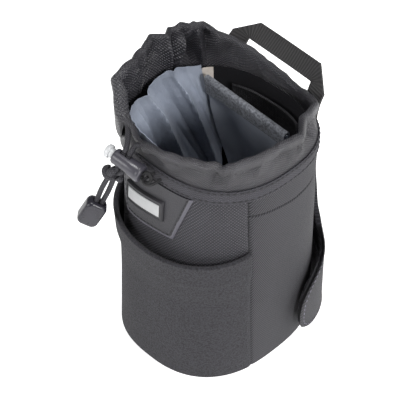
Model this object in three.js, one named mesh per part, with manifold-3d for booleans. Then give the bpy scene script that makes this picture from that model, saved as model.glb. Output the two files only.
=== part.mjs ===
// Lens pouch: a padded round-cornered pouch with a drawcord collar, a stretch front pocket,
// a webbing grab handle and a belt flap on its back.
// Millimetres, +Z up. The front faces -Y, the belt side faces +Y and the underside rests on Z = 0.

import * as THREE from 'three';
import { mergeVertices } from 'three/addons/utils/BufferGeometryUtils.js';
import Module from 'manifold-3d';

const wasm = await Module();
wasm.setup();

// Body outline, measured on the outside of the outer fabric
const BASE_HALF_X = 53.5;
const BASE_HALF_Y = 60;
const TOP_HALF_X = 55;
const FRONT_LEAN = 16.5;
const BACK_LEAN = 1.7;
const SQUARENESS = 2.5;
const SEAM_Z = 150;
const FOOT_RADIUS = 2.5;
const RING_STEPS = 60;

// Fabric layers, from the outside in
const GAP = 0.3;
const SHELL_T = 1.2;
const FOAM_T = 6;
const LINING_T = 0.8;
const BASE_PAD_T = 7;

// Side seams between the front panel and the side and back panel
const SIDE_SEAM_FOOT_DEG = 68;
const SIDE_SEAM_TOP_DEG = 61.5;

// Seam between the body and the collar, and its outer band
const HEM_H = 7;
const BAND_BELOW = 8;
const BAND_ABOVE = 1;
const BAND_T = 0.8;
const FOAM_TOP_BELOW_SEAM = 3;

// Collar: rim height above the seam and flare by angle, then its drawcord channel
const COLLAR_T = 0.9;
const CHANNEL_H = 9;
const CORD_D = 3.2;
const CORD_ROOM = 0.9;
const RIPPLE = 1.1;
const RIPPLE_COUNT = 11;
const COLLAR_CURL = 1.3;
const NOTCH_DEG = -22;
const NOTCH_HALF_DEG = 11;
const NOTCH_RISE = 0.8;
const COLLAR_RIM = [
  { deg: 0, height: 17, flare: -2 },
  { deg: 22, height: 20, flare: -3 },
  { deg: 45, height: 21, flare: -4 },
  { deg: 75, height: 22.5, flare: -5 },
  { deg: 95, height: 20, flare: -6 },
  { deg: 117, height: 17, flare: -11 },
  { deg: 132, height: 16, flare: -10 },
  { deg: 150, height: 11.5, flare: -2 },
  { deg: 168, height: 7.5, flare: -0.5 },
  { deg: 190, height: 12, flare: 0 },
  { deg: 220, height: 24.5, flare: 0.5 },
  { deg: 242, height: 37, flare: 1 },
  { deg: 255, height: 35, flare: 0.5 },
  { deg: 272, height: 39.5, flare: 0.5 },
  { deg: 305, height: 35.5, flare: 0 },
  { deg: 327, height: 20, flare: -2 },
  { deg: 342, height: 13, flare: -1.5 },
];

// Lining, and the loose lining flap at the back with its hook and loop closure
const LINING_ABOVE_SEAM = 11;
const LINING_EDGE_DEG = 142;
const LINING_FOLD = 2.4;
const LINING_FOLD_COUNT = 9;
const LINING_FOLD_FULL_AT = 0.7;
const FLAP_HINGE_Z = 40;
const LINING_FLAP_T = 1;
const LINING_FLAP_TOP_Z = 150.4;
const LINING_FLAP_X = -4;
const LINING_FLAP_FOOT_HALF = 20;
const LINING_FLAP_TOP_HALF = 34;
const LINING_FLAP_REACH = 18;
const LINING_FLAP_SLOPE = 0.09;
const HOOK_T = 1.5;
const HOOK_H = 20;
const HOOK_HALF_DEG = 35;
const LOOP_T = 0.9;
const LOOP_H = 11;

// Stretch pocket on the front panel
const POCKET_T = 1;
const POCKET_TOP_Z = 96.5;
const POCKET_SIDE_RISE = 6.5;
const POCKET_BULGE = 6.5;
const POCKET_FLATNESS = 1.6;
const POCKET_CURL = 3.2;
const POCKET_HEM_T = 0.9;
const POCKET_HEM_H = 18;
const POCKET_HEM_BACK_H = 8;

// Label patch, plate and inset on the front panel
const PATCH_T = 1;
const PATCH_X = -6;
const PATCH_FOOT_Z = 104.5;
const PATCH_FOOT_HALF = 21;
const PATCH_TOP_HALF = 33;
const PATCH_SLOPE = 0.12;
const PLATE_T = 1.4;
const PLATE_X = -7;
const PLATE_Z = 122.5;
const PLATE_HALF_W = 18;
const PLATE_HALF_H = 8.2;
const INSET_T = 0.4;
const INSET_BORDER = 1.8;

// Grab handle of flat webbing on the back
const WEBBING_T = 1.6;
const WEBBING_W = 12.5;
const HANDLE_X = -5;
const HANDLE_INNER_HALF = 26;
const HANDLE_ROOT_BELOW_SEAM = 12;
const HANDLE_CREASE_ABOVE_SEAM = 16.5;
const HANDLE_STAND_OFF = 5;
const HANDLE_TILT_DEG = 28;
const HANDLE_SLOPE = 0.13;
const HANDLE_CORNER = 3;

// Belt flap on the back: a strap that stands off the body for a belt, and a wide wrapping foot
const BELT_FLAP_T = 1.4;
const BELT_GAP = 7.5;
const STRAP_BOW = 1.5;
const BELT_HINGE_BELOW_SEAM = 32;
const FLAP_ANCHOR_T = 1.4;
const FLAP_ANCHOR_H = 12;
const FLAP_ANCHOR_CLEAR = 1.5;
const FLAP_STAND_OFF = 1.6;
const FLAP_LOOP_T = 0.8;
const FLAP_LOOP_CLEAR = 0.6;
const FLAP_LOOP_INSET_DEG = 3;
const FLAP_LOOP_SPAN = [0.08, 0.5];
const FLAP_HOOK_T = 0.9;
const FLAP_HOOK_HALF_DEG = 24;
const FLAP_HOOK_Z = [12, 40];
const FLAP_EDGE = [
  { deg: 40, z: 5.5 },
  { deg: 60, z: 8 },
  { deg: 70.5, z: 14 },
  { deg: 72.5, z: 23 },
  { deg: 69.5, z: 33 },
  { deg: 60, z: 41 },
  { deg: 47, z: 46 },
  { deg: 36, z: 52 },
  { deg: 30.5, z: 62 },
  { deg: 28.5, z: 90 },
  { deg: 28, z: 117 },
];
const STRAP_FOOT_Z = 46;
const STRAP_RUN = 14;
const STRAP_HINGE_RUN = 16;

// Barrel cord lock on an anchor loop at the front seam
const LOCK_X = -4.4;
const LOCK_BELOW_SEAM = 2.6;
const LOCK_STAND_OFF = 7.2;
const LOCK_AXIS = new THREE.Vector3(-0.955, -0.159, 0.25).normalize();
const LOCK_FALL = new THREE.Vector3(0, -0.35, -0.94);
const BARREL_R = 4.8;
const BARREL_L = 20.5;
const BARREL_ROUND = 0.8;
const BORE_R = 3.4;
const BORE_FLOOR = 4;
const SLOT_AT = 14;
const PLUNGER_CLEAR = 0.3;
const PLUNGER_TRAVEL = 2.5;
const PLUNGER_TAIL = 9;
const BUTTON_R = 4.2;
const BUTTON_H = 3.2;
const SPRING_WIRE = 0.5;
const SPRING_TURNS = 3;
const EYE_R = 3;
const EYE_WIRE_R = 1.2;
const ANCHOR_D = 1.8;

// Drawcord tail: the knot and the two-shell cord end, from the lock's cord exit
const KNOT_FROM_EXIT = new THREE.Vector3(-5.3, -1.6, -6.6);
const KNOT_R = 4;
const KNOT_LOBE_STEP = 2.2;
const KNOT_LOBE_STRETCH = [1, 0.95];
const KNOT_FLATNESS = 0.92;
const END_FROM_KNOT = new THREE.Vector3(-15, -7, -36);
const END_WAY = new THREE.Vector3(-0.344, -0.409, -0.85).normalize();
const END_FACE = new THREE.Vector3(0.73, -0.68, 0.03);
const END_W = 12.5;
const END_H = 17.5;
const END_T = 8.4;
const END_CORNER_R = 4;
const END_ROUND = 2;
const END_CORD_DEPTH = 5;

// Offsets of the layers from the outline, positive outwards
const FOAM_OUT = -(SHELL_T + GAP);
const FOAM_IN = FOAM_OUT - FOAM_T;
const LINING_OUT = FOAM_IN - GAP;
const LINING_IN = LINING_OUT - LINING_T;
const HOOK_OUT = LINING_IN - GAP;
const HOOK_IN = HOOK_OUT - HOOK_T;
const COLLAR_MID = -(GAP + COLLAR_T) / 2;
const BAND_OUT = GAP + BAND_T;
const PATCH_OUT = GAP + PATCH_T;
const PLATE_OUT = PATCH_OUT + GAP + PLATE_T;
const FLAP_HOOK_OUT = GAP + FLAP_HOOK_T;
const FLAP_LOOP_IN = FLAP_HOOK_OUT + GAP + FLAP_STAND_OFF;
const FLAP_FOOT_IN = FLAP_LOOP_IN + FLAP_LOOP_T + FLAP_LOOP_CLEAR;
const CHANNEL_MID_R = CORD_D / 2 + CORD_ROOM + COLLAR_T / 2;
const PANEL_TOP_Z = SEAM_Z - HEM_H;
const FOAM_TOP_Z = SEAM_Z - FOAM_TOP_BELOW_SEAM;
const PAD_Z = SHELL_T + GAP;
const BASE_LINING_Z = PAD_Z + BASE_PAD_T + GAP;
const LINING_FOOT_Z = BASE_LINING_Z + LINING_T + GAP;
const LINING_TOP_Z = SEAM_Z + LINING_ABOVE_SEAM;
const SEAM_GAP_DEG = THREE.MathUtils.radToDeg(GAP / BASE_HALF_X);

const { lerp, clamp, smoothstep, degToRad } = THREE.MathUtils;
const vec = (x, y, z) => new THREE.Vector3(x, y, z);

// The body's plan outline at a height: a squarish ellipse whose front and back lean in towards the seam
function outlineAt(z) {
  const share = clamp(z / SEAM_Z, 0, 1);
  return {
    halfX: lerp(BASE_HALF_X, TOP_HALF_X, share),
    halfY: BASE_HALF_Y - ((FRONT_LEAN + BACK_LEAN) / 2) * share,
    centreY: ((FRONT_LEAN - BACK_LEAN) / 2) * share,
  };
}

// Moves a point of the outline along its outward normal
function offsetFrom(outline, x, y, z, offset) {
  const power = SQUARENESS - 1;
  const nx = (Math.sign(x) * Math.pow(Math.abs(x) / outline.halfX, power)) / outline.halfX;
  const ny = (Math.sign(y) * Math.pow(Math.abs(y) / outline.halfY, power)) / outline.halfY;
  const scale = offset / Math.hypot(nx, ny);
  return vec(x + nx * scale, y + outline.centreY + ny * scale, z);
}

// A point on the body's wall at an angle from the front centre, positive towards +X
function wallPoint(deg, z, offset) {
  const outline = outlineAt(z);
  const sin = Math.sin(degToRad(deg));
  const cos = -Math.cos(degToRad(deg));
  const sum =
    Math.pow(Math.abs(sin) / outline.halfX, SQUARENESS) + Math.pow(Math.abs(cos) / outline.halfY, SQUARENESS);
  const radius = Math.pow(sum, -1 / SQUARENESS);
  return offsetFrom(outline, radius * sin, radius * cos, z, offset);
}

// A point on the front (side -1) or back (side 1) of the body at a distance x from the middle
function facePoint(side, x, z, offset) {
  const outline = outlineAt(z);
  const rest = Math.max(0, 1 - Math.pow(Math.abs(x) / outline.halfX, SQUARENESS));
  return offsetFrom(outline, x, side * outline.halfY * Math.pow(rest, 1 / SQUARENESS), z, offset);
}

// Where a line along Y at a distance x from the middle meets that offset face
function faceY(side, x, z, offset) {
  let from = x;
  for (let i = 0; i < 8; i += 1) from += x - facePoint(side, from, z, offset).x;
  return facePoint(side, from, z, offset).y;
}

// A periodic smooth value from a short list of stations around the body, the first of them at 0 degrees
function aroundBody(stations, key, deg) {
  const turn = ((deg % 360) + 360) % 360;
  const count = stations.length;
  const station = (i) => ({
    at: stations[(i + count) % count].deg + 360 * Math.floor(i / count),
    value: stations[(i + count) % count][key],
  });
  const later = stations.findIndex(({ deg: at }) => at > turn);
  const first = (later < 0 ? count : later) - 1;
  const [a, b, c, d] = [first - 1, first, first + 1, first + 2].map(station);
  const span = c.at - b.at;
  const share = (turn - b.at) / span;
  const slopeB = ((c.value - a.value) / (c.at - a.at)) * span;
  const slopeC = ((d.value - b.value) / (d.at - b.at)) * span;
  const fall = 1 - share;
  return (
    b.value * fall * fall * (1 + 2 * share) +
    c.value * share * share * (3 - 2 * share) +
    slopeB * share * fall * fall -
    slopeC * share * share * fall
  );
}

// Turns raw triangles into a closed solid with shared corners and faces pointing out
function closedGeometry(points, triangles) {
  const raw = new THREE.BufferGeometry();
  raw.setAttribute('position', new THREE.Float32BufferAttribute(points.flatMap((p) => [p.x, p.y, p.z]), 3));
  raw.setIndex(triangles.flat());
  return cleaned(raw);
}

function cleaned(geometry) {
  geometry.deleteAttribute('normal');
  geometry.deleteAttribute('uv');
  const merged = mergeVertices(geometry, 1e-4);
  const index = merged.getIndex().array;
  const place = merged.getAttribute('position');
  const corner = (i) => new THREE.Vector3().fromBufferAttribute(place, i);
  const kept = [];
  let volume = 0;
  for (let i = 0; i < index.length; i += 3) {
    const [a, b, c] = [index[i], index[i + 1], index[i + 2]];
    if (a === b || b === c || a === c) continue;
    kept.push([a, b, c]);
    volume += corner(a).dot(corner(b).cross(corner(c)));
  }
  merged.setIndex(kept.flatMap(([a, b, c]) => (volume < 0 ? [a, c, b] : [a, b, c])));
  merged.computeVertexNormals();
  return merged;
}

// A thick sheet between two grids of points, open at its four edges or joined round into a ring
function sheet(columns, rows, outerAt, innerAt, ring = false) {
  const across = ring ? columns : columns + 1;
  const points = [];
  for (const at of [outerAt, innerAt]) {
    for (let i = 0; i < across; i += 1) {
      for (let j = 0; j <= rows; j += 1) points.push(at(i / columns, j));
    }
  }
  const outer = (i, j) => (i % across) * (rows + 1) + j;
  const inner = (i, j) => across * (rows + 1) + outer(i, j);
  const triangles = [];
  const quad = (a, b, c, d) => triangles.push([a, b, c], [a, c, d]);
  for (let i = 0; i < columns; i += 1) {
    for (let j = 0; j < rows; j += 1) {
      quad(outer(i, j), outer(i + 1, j), outer(i + 1, j + 1), outer(i, j + 1));
      quad(inner(i, j), inner(i, j + 1), inner(i + 1, j + 1), inner(i + 1, j));
    }
    quad(outer(i + 1, 0), outer(i, 0), inner(i, 0), inner(i + 1, 0));
    quad(outer(i, rows), outer(i + 1, rows), inner(i + 1, rows), inner(i, rows));
  }
  for (let j = 0; j < rows && !ring; j += 1) {
    quad(outer(0, j), outer(0, j + 1), inner(0, j + 1), inner(0, j));
    quad(outer(columns, j + 1), outer(columns, j), inner(columns, j), inner(columns, j + 1));
  }
  return closedGeometry(points, triangles);
}

// A closed profile of [offset, z] points swept from one end to the other, or round into a ring
function sweep(steps, profileAt, place, ring = false) {
  const stations = ring ? steps : steps + 1;
  const profiles = Array.from({ length: stations }, (_, i) => profileAt(i / steps));
  const size = profiles[0].length;
  const points = profiles.flatMap((profile, i) => profile.map((point) => place(i / steps, point)));
  const at = (i, k) => (i % stations) * size + (k % size);
  const triangles = [];
  for (let i = 0; i < steps; i += 1) {
    for (let k = 0; k < size; k += 1) {
      triangles.push([at(i, k), at(i, k + 1), at(i + 1, k + 1)], [at(i, k), at(i + 1, k + 1), at(i + 1, k)]);
    }
  }
  if (!ring) {
    const flat = profiles.map((profile) => profile.map(([offset, z]) => new THREE.Vector2(offset, z)));
    const turn = Math.sign(THREE.ShapeUtils.area(flat[0]));
    const cap = (i, flip) => {
      for (const [a, b, c] of THREE.ShapeUtils.triangulateShape(flat[i], [])) {
        const same = Math.sign(THREE.ShapeUtils.area([flat[i][a], flat[i][b], flat[i][c]])) === turn;
        triangles.push(same === flip ? [at(i, c), at(i, b), at(i, a)] : [at(i, a), at(i, b), at(i, c)]);
      }
    };
    cap(0, true);
    cap(steps, false);
  }
  return closedGeometry(points, triangles);
}

// The same sweep round the body between two angles
function wallSweep(fromDeg, toDeg, steps, profileAt) {
  const deg = (u) => lerp(fromDeg, toDeg, u);
  const place = (u, [offset, z]) => wallPoint(deg(u), z, offset);
  return sweep(steps, (u) => profileAt(deg(u)), place, toDeg - fromDeg >= 360);
}

// A closed band of fabric around a centre line of [offset, z] points
function ribbonProfile(line, thickness) {
  const side = (sign) =>
    line.map(([offset, z], i) => {
      const from = line[Math.max(0, i - 1)];
      const to = line[Math.min(line.length - 1, i + 1)];
      const length = Math.hypot(to[0] - from[0], to[1] - from[1]);
      const reach = (sign * thickness) / 2 / length;
      return [offset - (to[1] - from[1]) * reach, z + (to[0] - from[0]) * reach];
    });
  return [...side(1), ...side(-1).reverse()];
}

// A flat plate with the body's plan outline, taken at its top where the body is narrower
function outlinePlate(offset, fromZ, thickness) {
  const shape = new THREE.Shape(
    Array.from({ length: RING_STEPS }, (_, i) => {
      const p = wallPoint((360 * i) / RING_STEPS, fromZ + thickness, offset);
      return new THREE.Vector2(p.x, p.y);
    }),
  );
  const plate = new THREE.ExtrudeGeometry(shape, { depth: thickness, bevelEnabled: false });
  return cleaned(plate.translate(0, 0, fromZ));
}

function circleShape(radius, sides) {
  const turn = (i) => (2 * Math.PI * i) / sides;
  return new THREE.Shape(
    Array.from({ length: sides }, (_, i) => new THREE.Vector2(radius * Math.cos(turn(i)), radius * Math.sin(turn(i)))),
  );
}

function cordTube(points, diameter, steps, sides = 8) {
  const path = new THREE.CatmullRomCurve3(points, false, 'centripetal');
  const options = { steps, extrudePath: path, bevelEnabled: false };
  return cleaned(new THREE.ExtrudeGeometry(circleShape(diameter / 2, sides), options));
}

function revolved(profile, sides) {
  return cleaned(new THREE.LatheGeometry(profile.map(([r, y]) => new THREE.Vector2(r, y)), sides));
}

function manifoldOf(geometry) {
  const vertProperties = new Float32Array(geometry.getAttribute('position').array);
  const triVerts = new Uint32Array(geometry.getIndex().array);
  return new wasm.Manifold(new wasm.Mesh({ numProp: 3, vertProperties, triVerts }));
}

function geometryOf(manifold) {
  const mesh = manifold.getMesh();
  const geometry = new THREE.BufferGeometry();
  geometry.setAttribute('position', new THREE.BufferAttribute(new Float32Array(mesh.vertProperties), 3));
  geometry.setIndex(new THREE.BufferAttribute(new Uint32Array(mesh.triVerts), 1));
  return cleaned(geometry);
}

// Looks, as seen in the photograph
const cloth = (color, roughness) => new THREE.MeshStandardMaterial({ color, roughness, metalness: 0 });
const LOOKS = {
  ballistic: cloth(0x2b2c30, 0.85),
  twill: cloth(0x33343a, 0.8),
  collar: cloth(0x2a2b2f, 0.6),
  stretch: cloth(0x2e2f34, 0.9),
  foam: cloth(0x3a3a3c, 0.95),
  lining: cloth(0xa9b0bd, 0.55),
  dark_lining: cloth(0x1a1a1c, 0.8),
  hook: cloth(0x141416, 0.9),
  loop: cloth(0x8d939d, 0.95),
  leather: cloth(0x35363a, 0.55),
  rubber: cloth(0x18181a, 0.6),
  inset: cloth(0xd9dadb, 0.5),
  webbing: cloth(0x242528, 0.8),
  cord: cloth(0x2a2b2e, 0.8),
  gloss: cloth(0x141518, 0.2),
  satin: cloth(0x55585e, 0.4),
  steel: new THREE.MeshStandardMaterial({ color: 0xb8babd, roughness: 0.3, metalness: 1 }),
};

const pouch = new THREE.Group();

function add(name, geometry, look, parent = pouch) {
  const mesh = new THREE.Mesh(geometry, LOOKS[look]);
  mesh.name = name;
  parent.add(mesh);
  return mesh;
}

// Outer panels: a wall that turns under at the foot
function footArc(depth, turnDeg) {
  const radius = FOOT_RADIUS - depth;
  const turn = degToRad(turnDeg);
  return { offset: -FOOT_RADIUS + radius * Math.sin(turn), z: FOOT_RADIUS - radius * Math.cos(turn) };
}

function panelRow(depth, row, topZ) {
  const foot = [0, 30, 60, 90];
  if (row < foot.length) return footArc(depth, foot[row]);
  const wallRows = 3;
  const share = (row - foot.length + 1) / wallRows;
  return { offset: -depth, z: lerp(FOOT_RADIUS, topZ, share) };
}

// The side seams slant, so that the front panel is wider at its foot
const seamDeg = (z) => lerp(SIDE_SEAM_FOOT_DEG, SIDE_SEAM_TOP_DEG, clamp(z / PANEL_TOP_Z, 0, 1));
const frontEdge = (z) => seamDeg(z) - SEAM_GAP_DEG / 2;
const sideEdge = (z) => seamDeg(z) + SEAM_GAP_DEG / 2;

function outerPanel(degAt, columns) {
  const at = (depth) => (u, row) => {
    const { offset, z } = panelRow(depth, row, PANEL_TOP_Z);
    return wallPoint(degAt(u, z), z, offset);
  };
  return sheet(columns, 6, at(0), at(SHELL_T));
}

const frontDeg = (u, z) => lerp(-frontEdge(z), frontEdge(z), u);
const sideDeg = (u, z) => lerp(sideEdge(z), 360 - sideEdge(z), u);
add('front_panel', outerPanel(frontDeg, 22), 'ballistic');
add('side_back_panel', outerPanel(sideDeg, 40), 'twill');

// Base and padding
add('base_panel', outlinePlate(-(FOOT_RADIUS + GAP), 0, SHELL_T), 'twill');
add('base_pad', outlinePlate(FOAM_IN - GAP, PAD_Z, BASE_PAD_T), 'foam');
add('base_lining', outlinePlate(FOAM_IN - GAP, BASE_LINING_Z, LINING_T), 'lining');

const foamOuter = (u, row) => {
  const { offset, z } = panelRow(SHELL_T + GAP, row, FOAM_TOP_Z);
  return wallPoint(360 * u, z, offset);
};
const foamInner = (u, row) => wallPoint(360 * u, panelRow(SHELL_T + GAP, row, FOAM_TOP_Z).z, FOAM_IN);
add('foam_sleeve', sheet(RING_STEPS, 6, foamOuter, foamInner, true), 'foam');

// Collar wall: the middle of its cloth at an angle and a height
const rimZ = (deg) => SEAM_Z + aroundBody(COLLAR_RIM, 'height', deg);
const collarRoot = SEAM_Z + BAND_ABOVE;

function collarOffset(deg, z) {
  const rise = clamp((z - collarRoot) / (rimZ(deg) - collarRoot), 0, 1);
  const ripple = RIPPLE * Math.sin(degToRad(deg * RIPPLE_COUNT)) * rise * rise;
  return COLLAR_MID + (aroundBody(COLLAR_RIM, 'flare', deg) - COLLAR_MID) * Math.pow(rise, COLLAR_CURL) + ripple;
}

const channelHemZ = (deg) => Math.max(rimZ(deg) - CHANNEL_H, collarRoot + GAP + COLLAR_T);

// The collar's section: up from the seam, over the drawcord and down to a free hem outside
function collarLine(deg) {
  const top = rimZ(deg);
  const wall = (z) => [collarOffset(deg, z), z];
  const arcZ = top - CHANNEL_MID_R;
  const arcMid = collarOffset(deg, arcZ) + CHANNEL_MID_R;
  const arc = (angle) => [
    arcMid + CHANNEL_MID_R * Math.cos(degToRad(angle)),
    arcZ + CHANNEL_MID_R * Math.sin(degToRad(angle)),
  ];
  const up = [PANEL_TOP_Z + GAP, collarRoot, lerp(collarRoot, arcZ, 0.5), arcZ].map(wall);
  const hemZ = channelHemZ(deg);
  const hem = [collarOffset(deg, hemZ) + COLLAR_T + 2 * GAP, hemZ];
  return [...up, arc(125), arc(60), arc(0), [arcMid + CHANNEL_MID_R, lerp(arcZ, hemZ, 0.6)], hem];
}

// The notch in the channel's outer side where the drawcord comes out
function notchProfile(deg) {
  const hemZ = channelHemZ(deg);
  const arcZ = rimZ(deg) - CHANNEL_MID_R;
  const arcMid = collarOffset(deg, arcZ) + CHANNEL_MID_R;
  const cutTop = arcZ + NOTCH_RISE * CHANNEL_MID_R;
  const far = arcMid + 2 * CHANNEL_H;
  const inside = collarOffset(deg, hemZ) + COLLAR_T / 2 + GAP;
  return [
    [inside, hemZ - CHANNEL_H / 3],
    [far, hemZ - CHANNEL_H / 3],
    [far, cutTop],
    [arcMid + GAP, cutTop],
  ];
}

const wholeCollar = wallSweep(0, 360, 72, (deg) => ribbonProfile(collarLine(deg), COLLAR_T));
const notch = wallSweep(NOTCH_DEG - NOTCH_HALF_DEG, NOTCH_DEG + NOTCH_HALF_DEG, 6, notchProfile);
add('collar', geometryOf(manifoldOf(wholeCollar).subtract(manifoldOf(notch))), 'collar');

const bandZ = [SEAM_Z - BAND_BELOW, SEAM_Z + BAND_ABOVE];
const bandAt = (offset) => (u, row) => wallPoint(360 * u, bandZ[row], offset);
add('collar_band', sheet(RING_STEPS, 1, bandAt(BAND_OUT), bandAt(GAP), true), 'twill');

// Lining: it follows the foam, then leans out to the collar above the foam
const LINING_ROWS = 8;

function liningZ(row) {
  const turnZ = FOAM_TOP_Z - GAP;
  return row <= 5 ? lerp(LINING_FOOT_Z, turnZ, row / 5) : lerp(turnZ, LINING_TOP_Z, (row - 5) / 3);
}

function liningOffset(deg, z, fold) {
  const tucked = LINING_OUT - fold * smoothstep(z, LINING_FOOT_Z, LINING_FOLD_FULL_AT * SEAM_Z);
  const onCollar = collarOffset(deg, z) - COLLAR_T - GAP;
  return lerp(tucked, Math.min(onCollar, -COLLAR_T), smoothstep(z, FOAM_TOP_Z, LINING_TOP_Z));
}

function liningSheet(fromDeg, toDeg, columns, foldDepth) {
  const at = (depth) => (u, row) => {
    const deg = lerp(fromDeg, toDeg, u);
    const wave = 0.5 - 0.5 * Math.cos(2 * Math.PI * LINING_FOLD_COUNT * u);
    const z = liningZ(row);
    return wallPoint(deg, z, liningOffset(deg, z, foldDepth * wave) - depth);
  };
  return sheet(columns, LINING_ROWS, at(0), at(LINING_T));
}

const backEdge = LINING_EDGE_DEG + SEAM_GAP_DEG;
add('lining', liningSheet(-LINING_EDGE_DEG, LINING_EDGE_DEG, 54, LINING_FOLD), 'lining');
add('back_lining', liningSheet(backEdge, 360 - backEdge, 14, 0), 'dark_lining');

// Hook strip on the back lining, below the seam where the lining starts to lean out
const hookZ = [FOAM_TOP_Z - GAP - HOOK_H, FOAM_TOP_Z - GAP];
const hookAt = (offset) => (u, row) => wallPoint(180 + HOOK_HALF_DEG * (2 * u - 1), hookZ[row], offset);
add('hook_strip', sheet(14, 1, hookAt(HOOK_OUT), hookAt(HOOK_IN)), 'hook');

// Lining flap, leaning in from a foot on the back lining to a straight top edge, bound by its loop strip
const flapFoot = wallPoint(180, FLAP_HINGE_Z, LINING_IN - GAP - LINING_FLAP_T / 2);

function flapPoint(side, z, depth) {
  const rise = (z - FLAP_HINGE_Z) / (LINING_FLAP_TOP_Z - FLAP_HINGE_Z);
  const x = LINING_FLAP_X * rise + side * lerp(LINING_FLAP_FOOT_HALF, LINING_FLAP_TOP_HALF, rise);
  const footY = faceY(1, x, FLAP_HINGE_Z, LINING_IN - GAP - LINING_FLAP_T / 2);
  const topY = flapFoot.y - LINING_FLAP_REACH;
  return vec(x, lerp(footY, topY, rise) + depth, z - LINING_FLAP_SLOPE * (x - LINING_FLAP_X) * rise);
}

const FLAP_ROWS = 6;
const flapZ = (row) => lerp(FLAP_HINGE_Z + GAP, LINING_FLAP_TOP_Z - LOOP_T - GAP, row / FLAP_ROWS);
const flapAt = (depth) => (u, row) => flapPoint(2 * u - 1, flapZ(row), depth);
const flapHalf = LINING_FLAP_T / 2;
add('lining_flap', sheet(12, FLAP_ROWS, flapAt(flapHalf), flapAt(-flapHalf)), 'lining');

const loopZ = [LINING_FLAP_TOP_Z - LOOP_H, LINING_FLAP_TOP_Z];
const loopFace = flapHalf + GAP;
const loopFold = [
  [loopFace + LOOP_T, loopZ[0]],
  [loopFace + LOOP_T, loopZ[1]],
  [-loopFace - LOOP_T, loopZ[1]],
  [-loopFace - LOOP_T, loopZ[0]],
  [-loopFace, loopZ[0]],
  [-loopFace, loopZ[1] - LOOP_T],
  [loopFace, loopZ[1] - LOOP_T],
  [loopFace, loopZ[0]],
];
const loopEnd = 1 - GAP / LINING_FLAP_TOP_HALF;
const loopPlace = (u, [depth, z]) => flapPoint(loopEnd * (2 * u - 1), z, depth);
add('loop_strip', sweep(6, () => loopFold, loopPlace), 'loop');

// Stretch pocket: a sheet over the front panel that bellies out towards its hemmed top
const POCKET_ROWS = 7;
const POCKET_FOOT_Z = FOOT_RADIUS + GAP;
const pocketTopZ = (side) => POCKET_TOP_Z + POCKET_SIDE_RISE * side * side;

function pocketOffset(side, z) {
  const top = pocketTopZ(side);
  const rise = clamp((z - POCKET_FOOT_Z) / (top - POCKET_FOOT_Z), 0, 1);
  const hemRoom = (POCKET_HEM_T + GAP) * smoothstep(z, top - 2 * POCKET_HEM_H, top - POCKET_HEM_H);
  const belly = POCKET_BULGE * (1 - Math.pow(Math.abs(side), POCKET_FLATNESS)) * Math.pow(rise, POCKET_CURL);
  return GAP + hemRoom + belly;
}

const pocketAt = (depth) => (u, row) => {
  const side = 2 * u - 1;
  const z = lerp(POCKET_FOOT_Z, pocketTopZ(side) - POCKET_HEM_T - GAP, row / POCKET_ROWS);
  return wallPoint(frontEdge(z) * side, z, pocketOffset(side, z) + depth);
};
add('stretch_pocket', sheet(22, POCKET_ROWS, pocketAt(POCKET_T), pocketAt(0)), 'stretch');

function pocketHemProfile(u) {
  const side = 2 * u - 1;
  const top = pocketTopZ(side);
  const front = (z, depth) => [pocketOffset(side, z) + POCKET_T + GAP + depth, z];
  const back = (z, depth) => [pocketOffset(side, z) - GAP - depth, z];
  const cap = top - POCKET_HEM_T;
  return [
    front(top - POCKET_HEM_H, POCKET_HEM_T),
    front(top, POCKET_HEM_T),
    back(top, POCKET_HEM_T),
    back(top - POCKET_HEM_BACK_H, POCKET_HEM_T),
    back(top - POCKET_HEM_BACK_H, 0),
    back(cap, 0),
    front(cap, 0),
    front(top - POCKET_HEM_H, 0),
  ];
}
const hemPlace = (u, [offset, z]) => wallPoint(frontEdge(z) * (2 * u - 1), z, offset);
add('pocket_hem', sweep(22, pocketHemProfile, hemPlace), 'stretch');

// Label patch under the seam band, with its plate and a plain inset
const PATCH_TOP_Z = SEAM_Z - BAND_BELOW - GAP;
const patchAt = (offset) => (u, row) => {
  const reach = lerp(PATCH_FOOT_HALF, PATCH_TOP_HALF, row / 2) * (2 * u - 1);
  const footZ = PATCH_FOOT_Z + PATCH_SLOPE * reach;
  return facePoint(-1, PATCH_X + reach, lerp(footZ, PATCH_TOP_Z, row / 2), offset);
};
add('label_patch', sheet(14, 2, patchAt(PATCH_OUT), patchAt(GAP)), 'leather');

function frontTile(halfW, halfH, inner, outer) {
  const at = (offset) => (u, row) => {
    const reach = halfW * (2 * u - 1);
    return facePoint(-1, PLATE_X + reach, PLATE_Z + PATCH_SLOPE * reach + halfH * (2 * row - 1), offset);
  };
  return sheet(8, 1, at(outer), at(inner));
}
add('label_plate', frontTile(PLATE_HALF_W, PLATE_HALF_H, PATCH_OUT + GAP, PLATE_OUT), 'rubber');
const insetTile = frontTile(
  PLATE_HALF_W - INSET_BORDER,
  PLATE_HALF_H - INSET_BORDER,
  PLATE_OUT + GAP,
  PLATE_OUT + GAP + INSET_T,
);
add('label_inset', insetTile, 'inset');

// Grab handle: two legs up the back, creased over into a flat band that tilts back
const HANDLE_ROOT_Z = SEAM_Z - HANDLE_ROOT_BELOW_SEAM;
const HANDLE_CREASE_Z = SEAM_Z + HANDLE_CREASE_ABOVE_SEAM;

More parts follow.
